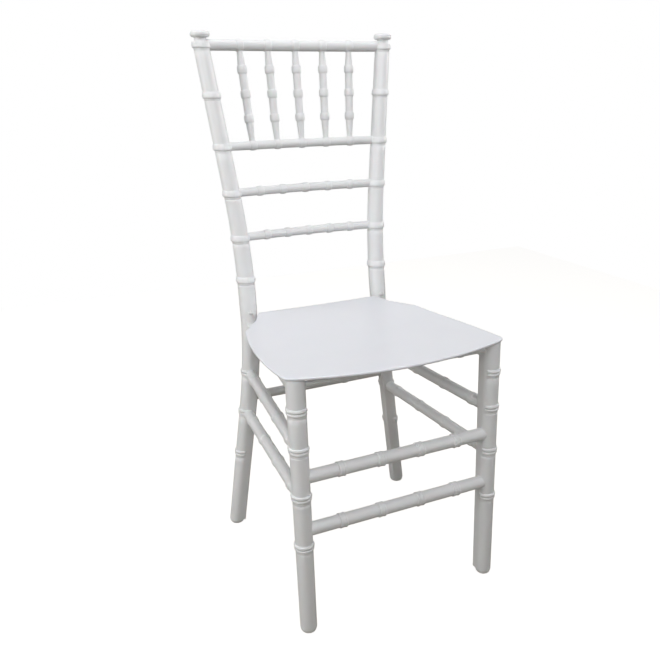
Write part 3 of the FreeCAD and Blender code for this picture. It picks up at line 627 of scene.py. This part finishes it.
@dataclass
class Legs:
    """The two front legs and the two rear posts."""

    stance: Stance
    corner: float = 3.0
    step: float = 14.0
    heights: Tuple[float, ...] = (380.5, 318.0, 239.0, 153.0)
    post_heights: Tuple[float, ...] = (496.5, 571.3, 650.6, 730.6, 817.5, 899.0)
    front_quarters: Tuple[int, int] = (0, 1)
    rear_quarters: Tuple[int, int] = (3, 2)
    round_from: float = -12.0
    round_to: float = 10.0
    reach_top: float = 106.0
    reach_low: float = 134.0
    reach_rear: float = 136.0
    reach_all: float = 400.0
    fade: float = 12.0

    def reach(self, z: float) -> float:
        """How far round a front leg the ring at a height goes, in degrees from the outer diagonal."""
        share = (self.heights[0] - z) / (self.heights[0] - self.heights[-1])
        return blend(self.reach_top, self.reach_low, share)

    def section(self, centre: Vector, outline: Outline, relief: float, reach: float) -> List[Vector]:
        """Ring of points round a leg, with the relief faded out on the inner faces.

        Args:
            centre: centre of the leg.
            outline: section of the leg.
            relief: height of the moulded ring here.
            reach: how far round it goes, in degrees from the outer diagonal.

        Returns:
            The ring.
        """
        ring = []
        for x, y, away in outline:
            grow = 1 + relief * ease(reach, reach - self.fade, away) / math.hypot(x, y)
            ring.append(Vector((centre.x + x * grow, centre.y + y * grow, centre.z)))
        return ring

    def front_leg(self, shop: Workshop, label: str, side: int) -> None:
        """Build one front leg.

        Args:
            shop: workshop that makes the piece.
            label: "left" or "right".
            side: -1 for left, 1 for right.
        """
        turning = Turning([(z, RingForm.LEG) for z in self.heights])
        quarter = self.front_quarters[side > 0]
        rings = []
        for z in turning.stations(self.stance.glide_height, self.stance.front_height, self.step):
            outline = leg_outline(self.stance.front_radius(z), self.corner, quarter)
            reach = self.reach(turning.nearest(z))
            rings.append(self.section(self.stance.front(z, side), outline, turning.relief(z), reach))
        shop.piece("front_leg_moulding_" + label, "front_leg_" + label, [rings])

    def rear_post(self, shop: Workshop, label: str, side: int) -> None:
        """Build one rear post, square cornered below the seat and round above it.

        Args:
            shop: workshop that makes the piece.
            label: "left" or "right".
            side: -1 for left, 1 for right.
        """
        low = [(z, RingForm.LEG) for z in self.heights[1:]]
        turning = Turning(low + [(z, RingForm.POST) for z in self.post_heights])
        shoulder = self.stance.shoulder[0]
        rings = []
        for z in turning.stations(self.stance.glide_height, self.stance.head[0], self.step):
            radius = self.stance.rear_radius(z)
            round_share = ease(shoulder + self.round_from, shoulder + self.round_to, z)
            corner = blend(self.corner, radius, round_share)
            outline = leg_outline(radius, corner, self.rear_quarters[side > 0])
            reach = self.reach_rear if z < shoulder else self.reach_all
            rings.append(self.section(self.stance.rear(z, side), outline, turning.relief(z), reach))
        shop.piece("rear_post_moulding_" + label, "rear_post_" + label, [rings])

    def build(self, shop: Workshop) -> None:
        """Build all four.

        Args:
            shop: workshop that makes the pieces.
        """
        for label, side in SIDES:
            self.front_leg(shop, label, side)
            self.rear_post(shop, label, side)


# Bars


@dataclass
class Bar:
    """Round bar along a line that is given as a function of the distance from its start."""

    line: Callable[[float], Vector]
    length: float
    radius: Callable[[float], float]
    turning: Turning
    step: float = 12.0
    segments: int = 40
    half_chord: float = 0.5
    steep: float = 0.8

    def rings(self) -> Rings:
        """Rings of points round the bar.

        Returns:
            One ring for each station, in order along the bar.
        """
        made = []
        for place in self.turning.stations(0.0, self.length, self.step):
            ahead = (self.line(place + self.half_chord) - self.line(place - self.half_chord)).normalized()
            guide = Vector((0, 0, 1)) if abs(ahead.z) < self.steep else Vector((0, 1, 0))
            side = ahead.cross(guide).normalized()
            up = side.cross(ahead).normalized()
            radius = self.radius(place) + self.turning.relief(place)
            centre = self.line(place)
            made.append([
                centre + (side * math.cos(angle) + up * math.sin(angle)) * radius
                for angle in (2 * math.pi * k / self.segments for k in range(self.segments))
            ])
        return made


def straight_bar(
    tips: Tuple[Vector, Vector], radius: Callable[[float], float], knots: Sequence[float], form: RingForm,
    step: float = 12.0,
) -> Rings:
    """Rings of a straight bar with knots.

    Args:
        tips: both ends of the bar.
        radius: radius as a function of the distance from the first end.
        knots: distances of its knots from the first end.
        form: form of its knots.
        step: widest spacing between rings.

    Returns:
        The rings, in order along the bar.
    """
    start, stop = tips
    way = (stop - start).normalized()
    turning = Turning([(knot, form) for knot in knots])
    return Bar(lambda place: start + way * place, (stop - start).length, radius, turning, step).rings()


@dataclass
class Stretchers:
    """Round bars between the legs, with bamboo knots at distances from their middle."""

    stance: Stance
    socket: float = 8.0
    front_radius: float = 10.6
    side_radius: float = 10.0
    rear_radius: float = 8.8
    front_heights: Pair = (272.5, 182.3)
    side_heights: Pair = (318.0, 239.0)
    rear_height: float = 270.0
    front_knots: Tuple[float, ...] = (-105.0, -36.0, 36.0, 105.0)
    side_knots: Tuple[float, ...] = (-120.0, -41.0, 41.0, 120.0)
    rear_knots: Tuple[float, ...] = (-55.0, 55.0)

    def bar(
        self, shop: Workshop, name: str, span: Span, radius: float, knots: Sequence[float], form: RingForm
    ) -> None:
        """Build one stretcher between two legs.

        Args:
            shop: workshop that makes the piece.
            name: CAD node that the bar replaces.
            span: where it runs.
            radius: radius of the bar.
            knots: places of its knots from the middle.
            form: form of its knots.
        """
        places = [span.middle + knot for knot in knots]
        shop.piece(name + "_moulding", name, [straight_bar(span.tips, lambda place: radius, places, form)])

    def build(self, shop: Workshop) -> None:
        """Build the two front, one rear and four side stretchers.

        Args:
            shop: workshop that makes the pieces.
        """
        for level, z in zip(LEVELS, self.front_heights):
            span = self.stance.cross_front(z, self.socket)
            name = "front_stretcher_" + level
            self.bar(shop, name, span, self.front_radius, self.front_knots, RingForm.STRETCHER)
        span = self.stance.cross_rear(self.rear_height, self.socket)
        self.bar(shop, "rear_stretcher", span, self.rear_radius, self.rear_knots, RingForm.SIDE)
        for label, side in SIDES:
            for level, z in zip(LEVELS, self.side_heights):
                span = self.stance.along_side(z, side, self.socket)
                name = "side_stretcher_%s_%s" % (label, level)
                self.bar(shop, name, span, self.side_radius, self.side_knots, RingForm.SIDE)


# Back


@dataclass
class Bow:
    """Level arc between the rear posts that bows to the rear."""

    stance: Stance
    height: float
    bow: float = 9.0
    socket: float = 8.0

    def __post_init__(self) -> None:
        """Work out the arc from the posts' distance and the bow."""
        post = self.stance.rear(self.height, 1)
        self.radius = (post.x**2 + self.bow**2) / (2 * self.bow)
        self.centre = Vector((0, post.y + self.bow - self.radius, self.height))
        reach = post.x - (self.stance.rear_radius(self.height) - self.socket)
        self.half = self.radius * math.asin(reach / self.radius)

    def at(self, x: float) -> Vector:
        """Point of the arc at a distance from the middle plane."""
        return self.centre + Vector((x, math.sqrt(self.radius**2 - x**2), 0))

    def line(self, place: float) -> Vector:
        """Point of the arc at a distance along it from its left end."""
        angle = (place - self.half) / self.radius
        return self.centre + Vector((math.sin(angle), math.cos(angle), 0)) * self.radius

    def place(self, x: float) -> float:
        """Distance along the arc of a point, from its distance to the middle plane."""
        return self.half + self.radius * math.asin(x / self.radius)


@dataclass(frozen=True)
class BackRail:
    """One bowed rail of the back, with the pitch of its knots or spindles."""

    name: str
    height: float
    radius: float
    pitch: float


@dataclass
class Back:
    """The four back rails and the five spindles."""

    stance: Stance
    top: BackRail = BackRail("top_rail", 899.0, 9.2, 53.0)
    low: BackRail = BackRail("spindle_rail", 730.6, 7.6, 48.3)
    slats: Tuple[BackRail, ...] = (
        BackRail("back_slat_upper", 650.6, 7.6, 45.5),
        BackRail("back_slat_lower", 571.3, 7.6, 42.5),
    )
    spindle_socket: float = 5.0
    spindle_end: float = 4.9
    spindle_body: float = 6.9
    spindle_step: float = 6.0
    knots: Tuple[float, float, float] = (776.0, 817.5, 859.0)

    def rail(self, shop: Workshop, rail: BackRail) -> None:
        """Build one bowed rail with its five knots.

        Args:
            shop: workshop that makes the piece.
            rail: the rail.
        """
        bow = Bow(self.stance, rail.height)
        turning = Turning([(bow.place(step * rail.pitch), RingForm.RAIL) for step in FIVE])
        bar = Bar(bow.line, 2 * bow.half, lambda place: rail.radius, turning)
        shop.piece(rail.name + "_moulding", rail.name, [bar.rings()])

    def spindle(self, shop: Workshop, step: int) -> None:
        """Build one spindle, thin at both ends, with three knots.

        Args:
            shop: workshop that makes the piece.
            step: its number, counted from the middle one.
        """
        foot = Bow(self.stance, self.low.height).at(step * self.low.pitch)
        head = Bow(self.stance, self.top.height).at(step * self.top.pitch)
        way = (head - foot).normalized()
        start = foot + way * (self.low.radius - self.spindle_socket)
        stop = head - way * (self.top.radius - self.spindle_socket)
        length = (stop - start).length
        knots = [(z - start.z) / way.z for z in self.knots]

        def radius(place: float) -> float:
            """Radius at a distance from the foot: full between the outer knots, less towards the ends."""
            share = min(ease(0.0, knots[0], place), ease(length, knots[2], place))
            return blend(self.spindle_end, self.spindle_body, share)

        rings = straight_bar((start, stop), radius, knots, RingForm.SPINDLE, self.spindle_step)
        name = "spindle_%d" % (step - FIVE[0] + 1)
        shop.piece(name + "_moulding", name, [rings])

    def build(self, shop: Workshop) -> None:
        """Build the rails and the spindles.

        Args:
            shop: workshop that makes the pieces.
        """
        for rail in (self.top, self.low, *self.slats):
            self.rail(shop, rail)
        for step in FIVE:
            self.spindle(shop, step)


# Turned pieces


@dataclass
class Finials:
    """Thick discs on short necks on top of the rear posts.

    Points of the neck's foot and collar are (way out from the neck, height).
    """

    stance: Stance
    radius: float = 16.7
    thickness: float = 11.0
    edge: float = 4.5
    neck: float = 10.3
    rise: float = 18.0
    crown: float = 0.6
    foot: Tuple[Pair, ...] = ((1.6, -0.4), (0.5, 0.5), (0.0, 2.0))
    collar: Tuple[Pair, ...] = ((0.0, -1.2), (0.8, 0.0))
    hub_share: float = 0.5
    hub_drop: float = 0.2

    def build(self, shop: Workshop) -> None:
        """Build both finials.

        Args:
            shop: workshop that makes the pieces.
        """
        under = self.rise - self.thickness
        rim = self.radius - self.edge
        profile = [(self.neck + out, z) for out, z in self.foot]
        profile += [(self.neck + out, under + z) for out, z in self.collar]
        profile += profile_arc((rim, under + self.edge), self.edge, -90, 0)
        profile += profile_arc((rim, self.rise - self.edge - self.crown), self.edge, 0, 90)
        profile += [(self.radius * self.hub_share, self.rise - self.hub_drop), (TIP, self.rise)]
        for label, side in SIDES:
            place = Matrix.Translation(self.stance.rear(self.stance.head[0], side))
            shop.piece("finial_moulding_" + label, "finial_" + label, [lathe(profile, place)])


@dataclass
class Glides:
    """Plastic glides under the four legs."""

    stance: Stance
    edge: float = 6.0
    margin: float = 0.6
    sole_margin: float = 2.0

    def build(self, shop: Workshop) -> None:
        """Build the four glides.

        Args:
            shop: workshop that makes the pieces.
        """
        top = self.stance.glide_height
        kinds = (
            ("front", self.stance.front, self.stance.front_radii[0]),
            ("rear", self.stance.rear, self.stance.rear_foot_radius))
        for label, centre, foot in kinds:
            radius = foot - self.margin
            profile = [(TIP, 0.0), (radius - self.edge - self.sole_margin, 0.0)]
            profile += profile_arc((radius - self.edge, self.edge), self.edge, -90, 0, 8)
            profile += [(radius, top)]
            for hand, side in SIDES:
                spot = centre(top, side)
                rings = lathe(profile, Matrix.Translation(Vector((spot.x, spot.y, 0))))
                name = "foot_glide_%s_%s" % (label, hand)
                shop.piece(name + "_moulding", name, [rings], Finish.GLIDE)


@dataclass
class Fasteners:
    """Seat stop studs on the posts and screws under the seat."""

    stance: Stance
    segments: int = 32
    stud_height: float = 437.0
    stud_radius: float = 4.2
    stud_rise: float = 2.6
    stud_lip: float = 0.5
    stud_root: float = -0.3
    stud_sink: float = 0.6
    stud_dome: Tuple[float, ...] = (0.4, 0.8, 1.2, 1.5)
    screw_head: float = 4.5
    screw_thick: float = 2.6
    screw_edge: float = 1.2
    screw_margin: float = 0.2
    rail_bottom: float = 405.0

    def studs(self) -> List[Rings]:
        """Both studs, domed and set into the front of the posts.

        Returns:
            The rings of each.
        """
        z = self.stud_height
        dome = self.stud_rise - self.stud_lip
        profile = [(self.stud_radius, self.stud_root), (self.stud_radius, self.stud_lip)]
        profile += [
            (self.stud_radius * math.cos(angle), self.stud_lip + dome * math.sin(angle))
            for angle in self.stud_dome]
        sink = Vector((0, self.stance.rear_radius(z) - self.stud_sink, 0))
        forwards = Matrix.Rotation(math.radians(90), 4, "X")
        return [
            lathe(profile, Matrix.Translation(self.stance.rear(z, side) - sink) @ forwards, self.segments)
            for _, side in SIDES]

    def screws(self) -> List[Rings]:
        """The heads of the four screws under the side seat rails.

        Returns:
            The rings of each.
        """
        margin = self.screw_edge + self.screw_margin
        profile = [(TIP, -self.screw_thick)]
        profile += profile_arc((self.screw_head - margin, -margin), self.screw_edge, -90, 0)
        profile += [(self.screw_head - self.screw_margin, 0.0)]
        spots = [spot for _, side in SIDES for spot in self.stance.fixings(side)]
        places = [Matrix.Translation(Vector((spot.x, spot.y, self.rail_bottom))) for spot in spots]
        return [lathe(profile, place, self.segments) for place in places]

    def build(self, shop: Workshop) -> None:
        """Build the studs as one piece and the screws as another."""
        shop.piece("seat_stop_stud_pair", "seat_stop_studs", self.studs(), Finish.STUD)
        shop.piece("seat_screw_set", "seat_screws", self.screws(), Finish.SCREW)


# Seat


def plan_arc(start: Vector, stop: Vector, radius: float, step: float) -> List[Vector]:
    """Points of an arc in plan that turns to the left.

    Args:
        start: first point, included.
        stop: last point, left out.
        radius: radius in mm.
        step: widest spacing of the points.

    Returns:
        Points in the plane of z = 0.
    """
    chord = stop - start
    rest = math.sqrt(max(0.0, radius**2 - chord.length_squared / 4))
    centre = (start + stop) / 2 + Vector((-chord.y, chord.x, 0)).normalized() * rest
    sweep = 2 * math.asin(min(1.0, chord.length / 2 / radius))
    count = max(2, math.ceil(sweep * radius / step))
    first = math.atan2(start.y - centre.y, start.x - centre.x)
    angles = [first + sweep * k / count for k in range(count)]
    return [centre + Vector((math.cos(a), math.sin(a), 0)) * radius for a in angles]


def plan_line(start: Vector, stop: Vector, step: float) -> List[Vector]:
    """Points of a straight run in plan, the last one left out."""
    count = max(2, math.ceil((stop - start).length / step))
    return [start.lerp(stop, k / count) for k in range(count)]


@dataclass
class Seat:
    """Thin dished seat panel with bosses under it.

    The plan's points are (x, y) of the right half: end of the bowed front edge, widest place, ear at the
    rear, neck behind it and end of the straight back edge.
    """

    stance: Stance
    height: float = 431.0
    thickness: float = 5.0
    dish: float = 4.0
    half: float = 213.0
    low_y: float = 7.7
    front_rise: float = 14.5
    front_reach: float = 240.0
    rear_rise: float = 7.5
    rear_reach: float = 125.0
    curl: float = 1.7
    front_bow: float = 30.7
    front_end: Pair = (177.9, -198.1)
    wide: Pair = (192.9, -181.4)
    corner_radius: float = 20.0
    side_radius: float = 834.0
    ear: Pair = (171.2, 55.7)
    ear_radius: float = 10.6
    neck: Pair = (136.9, 99.2)
    back: Pair = (120.2, 133.7)
    back_radius: float = 1.5
    edge: float = 2.2
    middle: Pair = (0.0, -40.0)
    spacing: float = 6.0
    corner_spacing: float = 2.5
    ear_spacing: float = 2.0
    back_spacing: float = 0.6
    hub: float = 0.03
    bands: int = 14
    brim: float = 0.97
    boss_low: float = 417.0
    boss_radius: float = 7.0
    leg_boss_radius: float = 14.6
    boss_flare: float = 0.8
    boss_straight: float = 0.6
    boss_segments: int = 32
    crease: float = 50.0

    def surface(self, x: float, y: float) -> float:
        """Height of the seat's top: a shallow trough that rises to the front and the rear.

        Args:
            x: place across the seat.
            y: place along it.

        Returns:
            The height in mm.
        """
        share = x / self.half
        run = y - self.low_y
        rise, reach = (self.front_rise, self.front_reach) if run < 0 else (self.rear_rise, self.rear_reach)
        return self.height + rise * (abs(run) / reach) ** self.curl - self.dish * (1 - share * share)

    def rounded(self, before: Vector, corner: Vector, after: Vector, radius: float) -> Tuple[Vector, Vector]:
        """Places where a rounding leaves and joins the lines through a corner.

        Args:
            before: a point of the first line.
            corner: the sharp corner.
            after: a point of the second line.
            radius: radius of the rounding.

        Returns:
            The arc's first and last point.
        """
        back, ahead = (before - corner).normalized(), (after - corner).normalized()
        run = radius / math.tan(back.angle(ahead) / 2)
        return corner + back * run, corner + ahead * run

    def outline(self) -> List[Vector]:
        """Plan of the seat, counter-clockwise from its front left corner.

        Returns:
            Points in the plane of z = 0.
        """
        front, wide, ear, neck, back = (
            Vector((*p, 0)) for p in (self.front_end, self.wide, self.ear, self.neck, self.back))
        ear_in, ear_out = self.rounded(wide, ear, neck, self.ear_radius)
        back_in, back_out = self.rounded(neck, back, back - Vector((1, 0, 0)), self.back_radius)
        front_radius = (front.x**2 + self.front_bow**2) / (2 * self.front_bow)
        side = plan_arc(front, wide, self.corner_radius, self.corner_spacing)
        side += plan_arc(wide, ear_in, self.side_radius, self.spacing)
        side += plan_arc(ear_in, ear_out, self.ear_radius, self.ear_spacing)
        side += plan_line(ear_out, neck, self.spacing) + plan_line(neck, back_in, self.spacing)
        side += plan_arc(back_in, back_out, self.back_radius, self.back_spacing)
        other = [Vector((-p.x, p.y, 0)) for p in reversed(side + [back_out])]
        front_edge = plan_arc(other[-1], front, front_radius, self.spacing)
        return front_edge + side + plan_line(back_out, other[0], self.spacing) + other[:-1]

    def inset(self, outline: Sequence[Vector], distance: float) -> List[Vector]:
        """Outline moved inwards.

        Args:
            outline: points in plan, counter-clockwise.
            distance: how far they move, in mm.

        Returns:
            As many points.
        """
        count = len(outline)
        moved = []
        for k, point in enumerate(outline):
            along = (outline[(k + 1) % count] - outline[k - 1]).normalized()
            moved.append(point + Vector((-along.y, along.x, 0)) * distance)
        return moved

    def layer(self, outline: Sequence[Vector], depth: float) -> List[Vector]:
        """Ring at a depth under the seat's top."""
        return [Vector((p.x, p.y, self.surface(p.x, p.y) - depth)) for p in outline]

    def panel(self) -> Rings:
        """The dished panel, from the middle of its top round the edge to the middle of its underside.

        Returns:
            Its rings.
        """
        outline = self.outline()
        centre = Vector((*self.middle, 0))
        shares = [self.hub] + [k / self.bands for k in range(1, self.bands)] + [self.brim]
        inner = self.inset(outline, self.edge)
        scaled = [[centre.lerp(p, share) for p in inner] for share in shares]
        rings = [self.layer(ring, 0.0) for ring in scaled]
        for out, up in profile_arc((0.0, 0.0), 1.0, 90, -90):
            shift = self.edge * (1 - max(0.0, out))
            rings.append(self.layer(self.inset(outline, shift), self.thickness / 2 * (1 - up)))
        return rings + [self.layer(ring, self.thickness) for ring in reversed(scaled)]

    def boss(self, spot: Vector, radius: float) -> Rings:
        """Boss that stands from a spot up into the panel.

        Args:
            spot: middle of its lower end.
            radius: its radius there.

        Returns:
            Its rings.
        """
        tall = self.surface(spot.x, spot.y) - self.thickness / 2 - spot.z
        profile = [(radius, 0.0), (radius, tall * self.boss_straight), (radius + self.boss_flare, tall)]
        return lathe(profile, Matrix.Translation(spot), self.boss_segments)

    def build(self, shop: Workshop) -> None:
        """Build the panel with its bosses as one piece.

        Args:
            shop: workshop that makes the piece.
        """
        tubes = [self.panel()]
        for _, side in SIDES:
            tubes.append(self.boss(self.stance.front(self.stance.front_height, side), self.leg_boss_radius))
            for spot in self.stance.fixings(side):
                tubes.append(self.boss(Vector((spot.x, spot.y, self.boss_low)), self.boss_radius))
        shop.piece("seat_moulding", "seat_panel", tubes, Finish.SEAT, self.crease)


@dataclass
class SeatRails:
    """Rails under the seat: round at the front, rectangular at the sides and rear."""

    stance: Stance
    socket: float = 5.0
    width: float = 14.0
    height: float = 12.0
    edge: float = 1.5
    sections: int = 12
    rear_middle: float = 406.0
    front_height: float = 422.2
    front_radius: float = 4.4
    pitch: float = 45.0
    knots: Tuple[float, ...] = (-2.5, -1.5, -0.5, 0.5, 1.5, 2.5)

    def slab(self, shop: Workshop, name: str, span: Span) -> None:
        """Build one rectangular rail with rounded edges.

        Args:
            shop: workshop that makes the piece.
            name: CAD node that the rail replaces.
            span: where it runs.
        """
        across = Vector((-span.way.y, span.way.x, 0))
        start, stop = span.tips
        section = []
        for sx, sz, turn in ((1, -1, 270), (1, 1, 0), (-1, 1, 90), (-1, -1, 180)):
            corner = (sx * (self.width / 2 - self.edge), sz * (self.height / 2 - self.edge))
            section += profile_arc(corner, self.edge, turn, turn + 90, 4)
        centres = [start.lerp(stop, k / self.sections) for k in range(self.sections + 1)]
        rings = [[centre + across * u + Vector((0, 0, v)) for u, v in section] for centre in centres]
        shop.piece(name + "_moulding", name, [rings])

    def build(self, shop: Workshop) -> None:
        """Build the four seat rails.

        Args:
            shop: workshop that makes the pieces.
        """
        span = self.stance.cross_front(self.front_height, self.socket)
        places = [span.middle + self.pitch * knot for knot in self.knots]
        rings = straight_bar(span.tips, lambda place: self.front_radius, places, RingForm.SIDE)
        shop.piece("front_seat_rail_moulding", "front_seat_rail", [rings])
        self.slab(shop, "rear_seat_rail", self.stance.cross_rear(self.rear_middle, self.socket))
        for label, side in SIDES:
            span = self.stance.along_side(self.stance.rail_middle, side, self.socket)
            self.slab(shop, "side_seat_rail_" + label, span)


# Studio


def ray_share(tree: bpy.types.NodeTree, *kinds: str) -> bpy.types.NodeSocket:
    """Socket that is 1 for some kinds of ray and 0 for all others.

    Args:
        tree: node tree that takes the nodes.
        kinds: outputs of the Light Path node.

    Returns:
        The socket.
    """
    path = add_node(tree, "ShaderNodeLightPath", {}, {})
    share = path.outputs[kinds[0]]
    for kind in kinds[1:]:
        either = {0: share, 1: path.outputs[kind]}
        share = add_node(tree, "ShaderNodeMath", {"operation": "MAXIMUM"}, either).outputs[0]
    return share


@dataclass(frozen=True)
class Lamp:
    """Soft rectangular lamp: places and sizes in metres, power in watts, beam in degrees."""

    name: str
    spot: Place
    aim: Place
    size: Pair
    power: float
    colour: str = "#FFFFFF"
    beam: float = 180.0

    def build(self) -> None:
        """Hang the lamp and turn it to what it lights."""
        data = bpy.data.lights.new(self.name, "AREA")
        data.spread = math.radians(self.beam)
        data.shape = "RECTANGLE"
        data.size, data.size_y = self.size
        data.energy = self.power
        data.color = linear(self.colour)[:3]
        lamp = bpy.data.objects.new(self.name, data)
        bpy.context.scene.collection.objects.link(lamp)
        lamp.location = self.spot
        lamp.rotation_euler = (Vector(self.spot) - Vector(self.aim)).to_track_quat("Z", "Y").to_euler()


@dataclass
class Studio:
    """Camera, floor and lamps of a plain white studio."""

    focal_px: float = 720.0
    picture_px: float = 660.0
    sensor_mm: float = 36.0
    azimuth: float = -24.9
    elevation: float = 19.1
    roll: float = -0.53
    eye: Place = (-514.0, -1082.4, 843.0)
    centre_px: Pair = (342.1, 327.7)
    clip: Pair = (0.01, 50.0)
    floor_half: float = 1.9
    floor_colour: str = "#9B958A"
    floor_white: float = 0.9
    room_light: float = 0.05
    lamps: Tuple[Lamp, ...] = (
        Lamp("left_softbox", (-2.6, 0.2, 1.2), (0, 0, 0.4), (1.4, 2.0), 35.0),
        Lamp("right_softbox", (2.6, -0.3, 1.5), (0.1, 0.15, 1.05), (1.2, 1.2), 3.0, beam=50.0),
        Lamp("face_softbox", (-1.2, -2.6, 1.7), (0, 0.2, 0.85), (1.0, 1.0), 2.0, beam=50.0),
        Lamp("near_softbox", (1.4, -2.4, 1.3), (0, 0, 0.4), (1.2, 1.6), 5.0),
        Lamp("top_softbox", (0.0, 0.0, 2.9), (0, 0, 0.4), (2.0, 2.0), 25.0, "#FBFCFF"),
        Lamp("brow_softbox", (-0.6, -1.7, 2.6), (0, 0, 0.5), (1.6, 1.4), 26.0, "#FBFCFF"),
    )

    def camera(self) -> None:
        """Place the camera where the photograph was taken from."""
        data = bpy.data.cameras.new("camera")
        data.sensor_width = self.sensor_mm
        data.lens = self.focal_px * self.sensor_mm / self.picture_px
        data.shift_x = (self.picture_px / 2 - self.centre_px[0]) / self.picture_px
        data.shift_y = (self.centre_px[1] - self.picture_px / 2) / self.picture_px
        data.clip_start, data.clip_end = self.clip
        camera = bpy.data.objects.new("camera", data)
        bpy.context.scene.collection.objects.link(camera)
        turn = math.radians(self.azimuth)
        lift = math.radians(self.elevation)
        cant = math.radians(self.roll)
        back = Vector((math.sin(turn) * math.cos(lift), -math.cos(turn) * math.cos(lift), math.sin(lift)))
        level = Vector((math.cos(turn), math.sin(turn), 0))
        plumb = back.cross(level)
        right = level * math.cos(cant) + plumb * math.sin(cant)
        up = plumb * math.cos(cant) - level * math.sin(cant)
        camera.matrix_world = Matrix((right, up, back)).transposed().to_4x4()
        camera.location = Vector(self.eye) * MM
        bpy.context.scene.camera = camera

    def floor(self) -> None:
        """Lay a pale floor that takes the chair's shadow and shows white to the camera."""
        wide = self.floor_half
        mesh = bpy.data.meshes.new("floor")
        edges = [(-wide, -wide, 0), (wide, -wide, 0), (wide, wide, 0), (-wide, wide, 0)]
        mesh.from_pydata(edges, [], [(0, 1, 2, 3)])
        floor = bpy.data.objects.new("floor", mesh)
        bpy.context.scene.collection.objects.link(floor)
        made = blank_material("white_paper")
        tree = made.node_tree
        seen = ray_share(tree, "Is Camera Ray", "Is Transmission Ray")
        white = add_node(tree, "ShaderNodeMath", {"operation": "MULTIPLY"}, {0: seen})
        white.inputs[1].default_value = self.floor_white
        glow = add_node(tree, "ShaderNodeEmission", {}, {"Strength": white.outputs[0]})
        paper = add_node(tree, "ShaderNodeBsdfDiffuse", {"Color": linear(self.floor_colour)}, {})
        both = add_node(tree, "ShaderNodeAddShader", {}, {0: paper.outputs[0], 1: glow.outputs[0]})
        add_node(tree, "ShaderNodeOutputMaterial", {}, {"Surface": both.outputs[0]})
        mesh.materials.append(made)

    def world(self) -> None:
        """Make the room white to the camera and in reflections, and let it light the chair only a little."""
        world = bpy.data.worlds.new("studio")
        bpy.context.scene.world = world
        world.use_nodes = True
        tree = world.node_tree
        tree.nodes.clear()
        seen = ray_share(tree, "Is Camera Ray", "Is Glossy Ray", "Is Transmission Ray")
        levels = {"To Min": self.room_light, "To Max": 1.0}
        level = add_node(tree, "ShaderNodeMapRange", levels, {"Value": seen})
        white = {"Color": (1, 1, 1, 1)}
        room = add_node(tree, "ShaderNodeBackground", white, {"Strength": level.outputs["Result"]})
        add_node(tree, "ShaderNodeOutputWorld", {}, {"Surface": room.outputs["Background"]})

    def build(self) -> None:
        """Set up the whole studio."""
        bpy.context.scene.view_settings.view_transform = "Standard"
        self.camera()
        self.floor()
        self.world()
        for lamp in self.lamps:
            lamp.build()


def main() -> None:
    """Load the frame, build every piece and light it."""
    logging.basicConfig(level=logging.INFO, format="%(name)s: %(message)s")
    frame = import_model()
    LOG.info("frame with %d nodes", len(frame["nodes"]))
    stance = Stance()
    shop = Workshop()
    Studio().build()
    for assembly in (Legs, Stretchers, Back, Finials, Glides, Seat, SeatRails, Fasteners):
        assembly(stance).build(shop)


if __name__ == "__main__":
    main()
